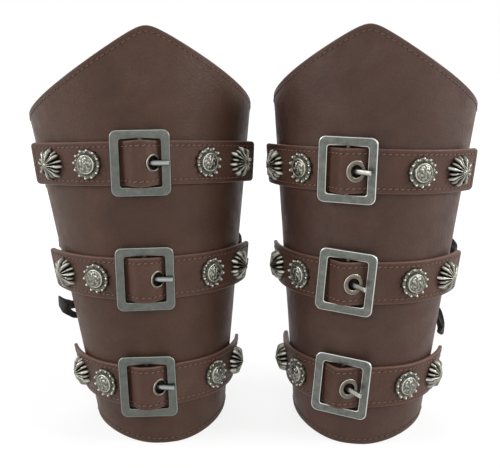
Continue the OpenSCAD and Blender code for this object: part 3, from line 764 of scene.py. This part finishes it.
def make_strap_stitching(s, b):
    step, corner = 0.8, 0.6
    arcs = corner_arcs(STRAP_L - 2 * STRAP_SEAM, STRAP_W - 2 * STRAP_SEAM, corner, 6)
    corners = np.concatenate([*arcs, arcs[0][:1]])
    flat = []
    for p, q in zip(corners[:-1], corners[1:]):
        n = max(1, int(np.linalg.norm(q - p) / step))
        flat += [*np.linspace(p, q, n, endpoint=False)]
    flat = np.array(flat + [corners[-1]])
    flat[:, 0] += STRAP_SHIFT
    flat[:, 1] += band_y(s, b, flat[:, 0])

    def surface(x, y):
        return stand(s, on_strap(s, b, x, y, STRAP_T / 2 - 0.12))

    shape, kinds = stitches(flat, surface, 2.9, 0.7, 9)
    add_mesh(named(s, b, "stitching"), shape, [THREAD_PAINT, HOLE_SHADE_PAINT],
             face_material=kinds, crease=80)


def make_cuff_stitching(s):
    xb, xt = cuff_corners(s)
    ends = 7.0
    u = np.linspace(-1, 1, 240)

    def edge_seam(x, y, way):
        line = np.stack([x, y], 1)
        step = unit(np.gradient(line, axis=0))
        return line + CUFF_SEAM * way * np.stack([-step[:, 1], step[:, 0]], 1)

    x_top, x_low = u * (xt - CUFF_SEAM), u * (xb - CUFF_SEAM)
    y = np.linspace(low_edge(s, xb) + ends, top_edge(xt) - ends, 160)
    lines = [edge_seam(x_top, top_edge(x_top), -1), edge_seam(x_low, low_edge(s, x_low), 1)]
    lines += [np.stack([way * (side_edge(y) - CUFF_SEAM), y], 1) for way in (-1, 1)]
    parts, kinds = [], []
    for flat in lines:
        shape, kind = stitches(flat, lambda x, y: stand(s, rolled(s, x, y, 0)), 2.8, 0.65, 8)
        parts.append(shape)
        kinds += kind
    add_mesh(f"{SIDES[s]}_cuff_stitching", joined(parts), [CUFF_THREAD_PAINT, HOLE_SHADE_PAINT],
             face_material=kinds, crease=80)


# Buckles

def corner_path(w, h, r, steps=9, straight=5):
    """Closed rounded rectangle with the same number of points for every size."""
    arcs = corner_arcs(w, h, r, steps)
    line = []
    for arc, following in zip(arcs, arcs[1:] + arcs[:1]):
        side = np.linspace(arc[-1], following[0], straight, endpoint=False)
        line += [*arc, *side[1:]]
    return np.array(line)


def buckle_spot(s, b):
    x = BUCKLE_X[s][b]
    return Spot(s, x, band_y(s, b, x), FRAME_W).turned("z", BUCKLE_TILT[s][b])


def make_buckle(s, b):
    spot = buckle_spot(s, b)
    outer = corner_path(BUCKLE_W, BUCKLE_H, FRAME_CORNER)
    inner = corner_path(BUCKLE_W - 2 * BAR_W, BUCKLE_H - 2 * BAR_W, 1.4)
    h = FRAME_T / 2
    rounded = [(0, h - 0.55), (0.12, h - 0.24), (0.3, h - 0.08), (0.45, h - 0.02), (0.62, h)]
    top = [*rounded, (BAR_W / 2, h), *((BAR_W - a, z) for a, z in rounded[::-1])]
    profile = top + [(a, -z) for a, z in top[::-1]]
    rings = np.stack([
        np.stack([*(inner + (outer - inner) * a / BAR_W).T, np.full(len(outer), z)], -1)
        for a, z in profile
    ], 1)
    points, faces = lofted(rings, closed=True)
    # Painted highlights on the inner and outer bevels of the top face, stronger on the right
    # buckle.
    inside, outside = ((0.15, 0.5), (1.0, 1.0))[s]
    shine = [0] + [inside] * 3 + [0] * 3 + [outside] * 3 + [0.3 * outside]
    rim = np.tile(shine + [0] * len(top), len(outer))
    # Painted shade on the inner edge, a little on the outer edge, over the whole underside and
    # over the pin.
    dirt = np.tile([0.3] + [0] * 9 + [0.1] + [0.35] * len(top), len(outer))
    a = circle(20)
    bar_end = BUCKLE_H / 2 - BAR_W + 0.6
    bar_points, bar_faces = lofted(np.stack([
        np.stack([PIN_R * np.cos(a), np.full(20, y), PIN_R * np.sin(a)], -1)
        for y in np.linspace(-bar_end, bar_end, 12)
    ]), flip=True)
    shape = joined([(spot.place(points), faces, {"rim": rim, "dirt": dirt}),
                    (spot.place(bar_points), bar_faces, {"dirt": 0.2})])
    add_mesh(named(s, b, "buckle"), shape, [BUCKLE_PAINT[s]],
             [named(s, b, "buckle_frame")], crease=50)


def make_prong(s, b):
    spot = buckle_spot(s, b).turned("y", -PRONG_ANGLE[s][b])
    a = circle(24)
    u, v = squarish(a, 0.75)
    half, tip = PRONG_T / 2, PRONG_REACH
    stations = [
        (1.7, 0.62, 1), (3.6, 0.72, 1), (5.5, 0.8, 1),
        *((x, half, 1) for x in (8.2, 10.5, 13, tip - 1.8, tip - 0.7)),
        (tip - 0.2, 0.88, 0.95), (tip - 0.03, 0.8, 0.86), (tip, 0.72, 0.78),
    ]
    rings, painted_highlights = [], []
    for x, thick, wide in stations:
        y = PRONG_W / 2 * wide * u
        rings.append(np.stack([np.full_like(y, x), y, thick * v], -1))
        # Painted highlight along the top middle of the arm, and a faint one over the curl.
        painted_highlights.append(smooth(1.4 - np.abs(y) / 0.9) * (np.sin(a) > 0) * 0.8)
    arm = lofted(np.array(rings))
    inner, outer, w, e, soft = PIN_R + PRONG_CLEAR, CURL_R, PRONG_W / 2, 0.3, 0.08
    near = [(inner, -w + e), (inner + e, -w), (outer - e, -w), (outer - soft, -w + soft),
            (outer, -w + e)]
    section = near + [(r, -y) for r, y in near[::-1]]
    curl = lofted(np.array([
        [(r * math.cos(turn), y, r * math.sin(turn)) for r, y in section]
        for turn in circle(36)
    ]), closed=True)
    shape = joined([(spot.place(arm[0]), arm[1], {"rim": np.concatenate(painted_highlights)}),
                    (spot.place(curl[0]), curl[1], {"rim": 0.2})])
    add_mesh(named(s, b, "prong_piece"), shape, [PRONG_PAINT[s]],
             [named(s, b, "buckle_prong")], body=named(s, b, "prong"), crease=50)


def make_strap_eyelet(s, b):
    u = EYELET_AT[s][b]
    x = BUCKLE_X[s][b] + u
    spot = Spot(s, x, band_y(s, b, x), strap_height(s, b, u))
    spot.turned("y", -math.degrees(strap_pitch(s, b, u)))
    hole, out, t, steps = EYELET_HOLE_R[s], EYELET_R[s], STRAP_T / 2, 56
    lip = [(hole + (out - hole) * (1 - math.cos(a)) / 2, t + EYELET_RIM * math.sin(a) ** 0.8)
           for a in np.linspace(0.12, math.pi - 0.1, 13)]
    profile = [(hole, -t + 0.1), (hole, t - 0.2), *lip, (out - 0.06, t - 0.1),
               (hole + BARREL_T, t - 0.1), (hole + BARREL_T, -t + 0.1)]
    points, faces = lathe(profile, steps)
    # Painted shade inside the barrel and under the lip; painted highlights in thin lines at the
    # lip's inner and outer edge.
    dirt = np.tile([0.7, 0.35] + [0] * 13 + [0.8] * 3, steps)
    rim = np.tile([0] * 3 + [0.7] * 2 + [0] * 7 + [0.9] * 3 + [0] * 3, steps)
    shape = spot.place(points), faces, {"dirt": dirt, "rim": rim}
    add_mesh(named(s, b, "eyelet"), shape, [RING_PAINT],
             [named(s, b, "strap_eyelet")], crease=60)


# Conchos

def heightfield(outline, height, rings, steps, curve):
    """Solid under a height map over a lobed disc, down to a strap of the given curve.

    Returns points, faces, and r and the angle of each point above the two lowest rings."""
    a = circle(steps)
    k = np.linspace(0, 1, rings + 1)[1:] ** 0.9
    r = k[:, None] * outline(a)
    angle = np.broadcast_to(a, r.shape)
    z = height(r, angle, outline(a) - r)
    top = np.stack([r * np.cos(a), r * np.sin(a), z], -1)[::-1]
    last = top[0].copy()
    last[:, 2] = -curve * last[:, 0] ** 2 - 0.02
    under = last * [0.85, 0.85, 1]
    points, faces = lofted(np.concatenate([under[None], last[None], top]), caps=False)
    middle = np.array([[0, 0, height(np.zeros(1), np.zeros(1), outline(a[:1]))[0]]])
    inmost = len(points) - steps
    faces += [(inmost + j, inmost + (j + 1) % steps, len(points)) for j in range(steps)]
    faces.append(tuple(range(steps))[::-1])
    return np.concatenate([points, middle]), faces, r[::-1], angle[::-1]


def over_field(values, under, middle):
    """Values of a height field's points, with those of its lowest rings and its middle."""
    return np.concatenate([np.full(2 * values.shape[1], under), values.ravel(), [middle]])


def petal_shape(curve):
    count, steps, rise = 16, 12, 4.4
    pitch = 2 * np.pi / count
    dome = (PETAL_R**2 + rise**2) / (2 * rise)

    def lobe(a):
        index = np.round(a / pitch) % count
        phi = (a - np.round(a / pitch) * pitch) / (pitch / 2)
        return phi - 0.16 * np.sin(3.7 * index) * (1 - phi**2), index % 2, np.sin(2.4 * index)

    def petal_width(r):
        return 0.68 + 0.24 * smooth((r - 2) / 4)

    def outline(a):
        phi, short, odd = lobe(a)
        end = np.sqrt(np.maximum(1 - 0.985 * phi**2, 0))
        return PETAL_R - 0.1 + 0.45 * odd - 0.8 * short - 3.8 * (1 - end)

    def height(r, a, near):
        phi, short, odd = lobe(a)
        crown = PETAL_TOP - dome + np.sqrt(np.maximum(dome**2 - r * r, 1))
        deep = 2.3 * smooth((r - 0.9) / 3.2)
        ridge = np.sqrt(np.maximum(1 - (phi / petal_width(r)) ** 2, 0))
        tip = rounding((near,), 1.3) * 0.9
        bulb = 0.6 * ridge * np.exp(-(((near - 1.7) / 1.1) ** 2))
        boss = 0.35 * np.exp(-((r / 1.1) ** 4)) + bulb
        low = (1.0 * short + 0.35 * odd) * smooth((r - 2) / 4)
        return np.maximum(crown - deep * (1 - ridge) - tip - low + boss, 0.15)

    points, faces, r, a = heightfield(outline, height, 30, count * steps, curve)
    phi, short, _ = lobe(a)
    groove = smooth((np.abs(phi) / petal_width(r) - 0.78) / 0.22)
    # Painted shade in the grooves between petals, over the shorter petals and round the lower
    # side wall; painted highlight along each crest, stronger outwards and at the middle.
    dirt = np.minimum(groove * smooth((r - 1.2) / 1.6) + 0.2 * short, 1)
    rim = smooth((0.5 - np.abs(phi)) / 0.4) * (0.75 - 0.3 * short + 0.25 * smooth((r - 5.5) / 2))
    return points, faces, {"dirt": over_field(dirt, 0.6, 0), "rim": over_field(rim, 0, 1)}


def round_shape(curve):
    count, bead, at = 12, 1.0, ROUND_R - 1.0
    scroll_r, ring_r, ring_half, rope_in, rope_out = 4.55, 5.2, 0.42, 5.7, 6.6

    def bead_gap(r, a):
        pitch = 2 * np.pi / count
        d = a - np.round(a / pitch) * pitch
        return np.hypot(r * np.cos(d) - at, r * np.sin(d))

    def outline(a):
        return ROUND_R - 0.1 - 0.75 * np.abs(np.sin(count * a / 2)) ** 1.8

    def relief(r, a):
        leaf = np.cos(5 * a + 1.3 * r) * np.sin(np.clip((r - 0.9) / 3.6, 0, 1) * np.pi)
        curl = np.cos(10 * a - 2.4 * r + 1) * smooth((r - 2.0) / 1.2) * 0.6
        return leaf + curl + 0.5 * np.cos(3 * a + 4 * r)

    def rope(a):
        return smooth(0.5 + 0.8 * np.cos(36 * a))

    def height(r, a, near):
        lobes = 1.35 + 0.3 * np.cos(count * a) * smooth((r - rope_out) / 1.2)
        plate = lobes - rounding((near,), 0.7)
        ball = plate + np.sqrt(np.maximum(bead**2 - bead_gap(r, a) ** 2, 0)) * 0.8
        disc = 2.0 + 1.95 * (1 - (np.minimum(r, 5.8) / 5.8) ** 2)
        disc = disc + 0.13 * relief(r, a) * (r <= scroll_r + 0.15)
        ring = ring_half * np.sqrt(np.clip(1 - ((r - ring_r) / ring_half) ** 2, 0, 1))
        z = np.where((r > rope_in) & (r < rope_out), 0.95 + 0.5 * rope(a), ball)
        return np.where(r <= rope_in + 0.05, disc + ring, z)

    points, faces, r, a = heightfield(outline, height, 44, 12 * 15, curve)
    gap, scroll = bead_gap(r, a), relief(r, a)
    # Painted shade between the outer beads, in the rope ring's grooves, in a ring round the
    # scroll, in the scroll's low parts and round the lower side wall.
    dark = np.where(r > 6.5, 0.25 * smooth((gap - 0.8) / 0.4), 0.0)
    dark = np.where((r > rope_in) & (r < rope_out + 0.05), 0.9 - 0.5 * rope(a), dark)
    dark = np.where((r > scroll_r) & (r < scroll_r + 0.3), 0.6, dark)
    dark = np.where(r <= scroll_r, smooth(0.42 - 0.45 * scroll) * 0.5, dark)
    # Painted highlights on the raised ring, the beads, the scroll's high parts and the middle.
    bright = np.where(np.abs(r - ring_r) < 0.25, 0.9, 0.0) + (gap < bead * 0.6)
    bright = np.minimum(np.where(r <= scroll_r, 0.45 * smooth(scroll), bright), 1)
    return points, faces, {"dirt": over_field(dark, 0.6, 0), "rim": over_field(bright, 0, 0.5)}


def make_conchos(s, b):
    curve = 1 / (2 * (wall_radius(s, STRAP_Y[s][b]) + STRAP_TOP))
    kinds = (("petal", PETAL_AT, petal_shape(curve)), ("round", ROUND_AT, round_shape(curve)))
    for kind, at, (points, faces, values) in kinds:
        parts = []
        for way in (-1, 1):
            x = STRAP_SHIFT + way * at
            up, slope = flare(x)
            spot = Spot(s, x, band_y(s, b, x), STRAP_TOP + 0.02 + up)
            spot.turned("y", -math.degrees(math.atan(slope)))
            spot.turned("z", 7 * way + 11 * b + 23 * s)
            parts.append((spot.place(points), faces, values))
        add_mesh(named(s, b, f"{kind}_pair"), joined(parts), [CONCHO_PAINT],
                 [named(s, b, f"{kind}_conchos")], crease=75)


def make_lacing_eyelets(s):
    hole, out, steps = LACE_HOLE_R, LACE_RIM_R, 40
    arc = np.linspace(0.1, math.pi - 0.1, 11)
    lip = [(hole + (out - hole) * (1 - math.cos(a)) / 2, LACE_RIM_T * math.sin(a)) for a in arc]
    # Painted highlights over the front lip and the back lip.
    rim = np.tile([0] + [0.8] * 9 + [0] * 5 + [0.6] * 9 + [0], steps)
    parts = []
    for y in lace_heights(s):
        inside = wall_radius(s, y) - WALL_T
        back = -WALL_T - (inside - math.sqrt(inside**2 - out**2)) - 0.02
        profile = [(r, 0.02 + z) for r, z in lip]
        profile += [(out - 0.05, 0.0), (hole + BARREL_T, 0.0), (hole + BARREL_T, back)]
        profile += [(r, back - z) for r, z in lip[::-1]]
        points, faces = lathe(profile, steps)
        for way in (-1, 1):
            parts.append((Spot(s, way * lace_x(y), y).place(points), faces, {"rim": rim}))
    add_mesh(f"{SIDES[s]}_back_eyelets", joined(parts), [EYELET_PAINT],
             [f"{SIDES[s]}_lacing_eyelets"], crease=60)


# Lacing: the route of the part's source, with rounder loops

# The lace_loop of each cuff, side and row, or 0 where the lace runs on tight
LACE_SLACK = [
    [[0, (9, 9, -12), 0], [0, 0, (6, 5, 4)]],
    [[0, 0, 0], [(6, 7, 0), (7, 8, 9), (7, 8, 2)]],
]
INNER_W = -WALL_T - 1.6
# Half widths and half thicknesses, from in a hole to lying free
PINCHED, NARROW, EASED, BROAD, FLAT = (
    (1.6, 0.6), *((half, LACE_T / 2) for half in (2.2, 2.4, LACE_W / 2 - 0.4, LACE_W / 2))
)


def from_hole(s, way, k):
    """Function for places told from a lacing hole: towards the gap, up, off the leather."""
    def place(dx, dy, w):
        y = lace_heights(s)[k] + dy
        return rolled(s, way * (lace_x(y) + dx), y, w)
    return place


def lace_loop(hole, up, out, drop):
    """A bight up off the leather, out towards the front and down by drop."""
    return [
        (hole(-out * 0.55, -drop * 0.3, 0.8 + up * 0.35), NARROW),
        (hole(-out, -drop * 0.8, up * 0.75), FLAT),
        (hole(-out * 0.55, 2 - drop, up * 1.15), FLAT),
        (hole(1 + out * 0.3, 3 - drop * 0.4, up), FLAT),
    ]


def lace_run(s, way, k):
    """From an eyelet over the gap to the next one on the other side."""
    slack = LACE_SLACK[s][0 if way < 0 else 1][k]
    hole, next_hole = from_hole(s, way, k), from_hole(s, -way, k + 1)
    over, under = hole(12, 4.4, 1.9), next_hole(13, -8, INNER_W)
    tight = [(hole(1.4, 0.5, 2.5), NARROW), (hole(4.6, 1.5, 3), BROAD)]
    return [
        (hole(0, 0, -1.5), PINCHED),
        (hole(0, 0, 1.1), PINCHED),
        *(lace_loop(hole, *slack) if slack else tight),
        (over, BROAD),
        ((over + under) / 2 + [0, way * 1.5, -1.5], FLAT),
        (under, FLAT),
        (next_hole(4, -3.5, INNER_W - 0.1), EASED),
        (next_hole(0, -0.3, INNER_W + 0.1), PINCHED),
    ]


def knot_spot(s):
    left, right = (from_hole(s, way, 3)(12, -3, 1.4) for way in (-1, 1))
    return (left + right) / 2 + [0, 0, -5]


def lace_half(s, way):
    """From the bottom row up to the knot, three times across."""
    route = []
    for k in range(3):
        route += lace_run(s, way * (1 if k % 2 == 0 else -1), k)
    hole = from_hole(s, -way, 3)
    return route + [
        (hole(0, 0, -1.5), PINCHED),
        (hole(0, 0, 1.1), PINCHED),
        (hole(1.8, -0.3, 2.6), NARROW),
        (hole(6, -1, 2.8), BROAD),
        (hole(12, -3, 1.4), FLAT),
        (knot_spot(s) + [-way * 2, 0, 0.5], NARROW),
    ]


def lace_route(s):
    bottom = [(0.3, 0, 0.1, PINCHED), (4.5, 0, -0.1, EASED), (13, -0.5, 0, FLAT)]
    left, right = (
        [(from_hole(s, way, 0)(dx, dy, INNER_W + dw), size) for dx, dy, dw, size in bottom]
        for way in (-1, 1)
    )
    return lace_half(s, -1)[::-1] + left + right[::-1] + lace_half(s, 1)


def lace_tail(s, way):
    """Down from the knot, and along the tip at the end."""
    hang = [((1, 0.5, 1), NARROW), ((3.5, 2.2, -4), BROAD), ((6.5, 3, -11), FLAT),
            ((8.5, 2.6, -20), FLAT), ((9.5, 2, -29), BROAD), ((9.8, 1.8, -31), (1.3, 1.1)),
            ((10.2, 1.6, -39), (1.2, 1.0))]
    return [(knot_spot(s) + [way * x, y, z], size) for (x, y, z), size in hang]


def through(route, steps):
    """Smooth line through a route's places, with half widths and half thicknesses."""
    rows = np.array([[*p, *size] for p, size in route])
    padded = np.concatenate([rows[:1], rows, rows[-1:]])
    out = []
    for i in range(len(rows) - 1):
        a, b, c, d = padded[i:i + 4]
        for f in np.linspace(0, 1, steps, endpoint=False):
            mid = 0.5 * (2 * b + (c - a) * f + (2 * a - 5 * b + 4 * c - d) * f**2
                         + (3 * b - a - 3 * c + d) * f**3)
            mid[3:] = b[3:] + (c[3:] - b[3:]) * smooth(f)
            out.append(mid)
    out.append(rows[-1])
    return np.array(out)


def ribbon(s, line, count):
    """Shape of a flat lace along a line in the cuff's axes."""
    p = line[:, :3]
    along = unit(np.gradient(p, axis=0))
    up = np.where(np.abs(along[:, 2:]) > 0.97, [[1.0, 0, 0]], [[0, 0, 1.0]])
    across = unit(up - along * np.sum(up * along, axis=1, keepdims=True))
    out = np.cross(across, along)
    u, v = squarish(circle(count), 0.7)
    wide, thick = line[:, 3:4] * u, line[:, 4:5] * v
    rings = p[:, None] + across[:, None] * wide[..., None] + out[:, None] * thick[..., None]
    far = np.concatenate([[0], np.cumsum(np.linalg.norm(np.diff(p, axis=0), axis=1))])
    points, faces = lofted(rings, flip=True)
    return stand(s, points), faces, {"along": np.repeat(far, count), "across": wide.ravel()}


def lace_knot(s):
    """Shapes of the knot's four turns."""
    turns, steps, half, thick = 28, 10, 1.5, 0.65
    a, q = circle(turns), circle(steps)
    none = np.zeros(turns)
    parts = []
    for x, tilt, size in ((-3.0, 14, 2.9), (-0.6, -10, 3.5), (1.6, 9, 3.5), (3.4, -14, 2.8)):
        lean = math.sin(math.radians(tilt)) * 0.6
        out = np.stack([lean * np.cos(a), 0.72 * np.cos(a), np.sin(a)], -1)[:, None]
        across = np.stack([none + 1, -0.2 * np.cos(a), none], -1)[:, None]
        loops = (knot_spot(s) + [x, 0, 0] + out * size + half * np.cos(q)[:, None] * across
                 + thick * np.sin(q)[:, None] * out)
        points, faces = lofted(loops, closed=True)
        wide = np.tile(half * np.cos(q), turns)
        values = {"along": np.repeat(a * size, steps), "across": wide}
        parts.append((stand(s, points), faces, values))
    return parts


def make_lace(s):
    side = SIDES[s]
    route = ribbon(s, through(lace_route(s), 8), 14)
    add_mesh(f"{side}_lacing", joined([route, *lace_knot(s)]), [LACE_PAINT],
             [f"{side}_lace"], crease=80)
    for way, label in zip((-1, 1), SIDES):
        line = through(lace_tail(s, way), 6)
        shape = ribbon(s, line, 16)
        tail = add_mesh(f"{side}_lace_{label}_tail", shape, [LACE_PAINT],
                        crease=80)
        sleeve = line[-8:] + [0, 0, 0, 0.15, 0.15]
        sleeve[0, 3:] = sleeve[1, 3:]
        sleeve[-1, 3:] *= 0.8
        points, faces, _ = ribbon(s, sleeve, 16)
        tip = add_mesh(f"{side}_lace_{label}_tip", (points, faces, {}), [TIP_PAINT],
                       crease=80)
        path = stand(s, line[:, :3]) * MM


# Stage, in metres

WORLD_LIGHT = 0.3
FLOOR_HALF, FLOOR_Z = 4.0, -0.0002
LAMP_AIM = (0, 0, 0.12)
LAMPS = (("left", (-1.15, -0.3, 0.7), 0.6, 7.0), ("right", (1.15, -0.3, 0.7), 0.6, 9.6),
         ("front", (0.0, -1.3, 0.9), 0.8, 3.2), ("back", (0.0, 0.9, 1.0), 0.9, 4.0))
PHOTO_W, FOCAL_PIXELS, SENSOR_MM = 500, 752.4, 36.0
CAMERA_AT, CAMERA_DOWN = (0.00057, -0.4595, 0.2393), 15


def lit_and_seen(tree, output, lit, seen):
    """One shader for the light it gives, another for what the camera and a gloss see."""
    path = add_node(tree, "ShaderNodeLightPath")
    total = path.outputs["Is Camera Ray"]
    for name in ("Is Glossy Ray", "Is Transmission Ray"):
        total = add_node(tree, "ShaderNodeMath", {0: total, 1: path.outputs[name]},
                         operation="ADD", use_clamp=True).outputs[0]
    mix = add_node(tree, "ShaderNodeMixShader", {0: total, 1: lit.outputs[0], 2: seen.outputs[0]})
    add_node(tree, output, {0: mix.outputs[0]})


def make_world():
    """Backdrop that is seen as white and lights the object less."""
    world = bpy.data.worlds.new("studio")
    bpy.context.scene.world = world
    tree = empty_tree(world)
    soft, white = (
        add_node(tree, "ShaderNodeBackground", {"Color": (1, 1, 1, 1), "Strength": strength})
        for strength in (WORLD_LIGHT, 1.0)
    )
    lit_and_seen(tree, "ShaderNodeOutputWorld", soft, white)


def make_floor():
    """A pale floor that fades into the white backdrop away from the object."""
    mesh = bpy.data.meshes.new("floor")
    corners = [(-1, -1), (1, -1), (1, 1), (-1, 1)]
    mesh.from_pydata([(x * FLOOR_HALF, y * FLOOR_HALF, 0) for x, y in corners], [],
                     [(0, 1, 2, 3)])
    floor = add_object("floor", mesh)
    floor.location.z = FLOOR_Z
    material = bpy.data.materials.new("floor")
    mesh.materials.append(material)
    tree = empty_tree(material)
    pale, faint = (
        add_node(tree, "ShaderNodeBsdfDiffuse", {"Color": (grey, grey, grey, 1)})
        for grey in (0.95, 0.25)
    )
    place = add_node(tree, "ShaderNodeTexCoord").outputs["Object"]
    reach = add_node(tree, "ShaderNodeVectorMath", {0: place}, operation="LENGTH")
    spread = add_node(tree, "ShaderNodeMapRange", {
        "Value": reach.outputs["Value"], "From Min": 0.3, "From Max": 0.8,
        "To Min": 0.82, "To Max": 1.0,
    })
    glow = add_node(tree, "ShaderNodeEmission", {"Strength": spread.outputs["Result"]})
    both = add_node(tree, "ShaderNodeAddShader", {0: faint.outputs[0], 1: glow.outputs[0]})
    lit_and_seen(tree, "ShaderNodeOutputMaterial", pale, both)


def make_lamps():
    for name, place, size, power in LAMPS:
        light = bpy.data.lights.new(name, "AREA")
        light.shape, light.size, light.energy = "DISK", size, power
        lamp = add_object(name, light)
        lamp.location = place
        lamp.rotation_mode = "QUATERNION"
        lamp.rotation_quaternion = (Vector(LAMP_AIM) - Vector(place)).to_track_quat("-Z", "Y")


def make_camera():
    lens = bpy.data.cameras.new("camera")
    lens.sensor_width = SENSOR_MM
    lens.sensor_fit = "HORIZONTAL"
    lens.lens = FOCAL_PIXELS * SENSOR_MM / PHOTO_W
    camera = add_object("camera", lens)
    camera.location = CAMERA_AT
    camera.rotation_euler = (math.radians(90 - CAMERA_DOWN), 0, 0)
    bpy.context.scene.camera = camera


bpy.context.scene.view_settings.view_transform = "Standard"
make_world()
make_floor()
make_lamps()
make_camera()
for s in range(2):
    make_lace(s)
    make_cuff(s)
    make_cuff_stitching(s)
    make_lacing_eyelets(s)
    for b in range(3):
        make_strap(s, b)
        make_strap_stitching(s, b)
        make_buckle(s, b)
        make_prong(s, b)
        make_strap_eyelet(s, b)
        make_conchos(s, b)
    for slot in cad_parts[f"{SIDES[s]}_concho_rivets"].material_slots:
        slot.material = RIVET_PAINT
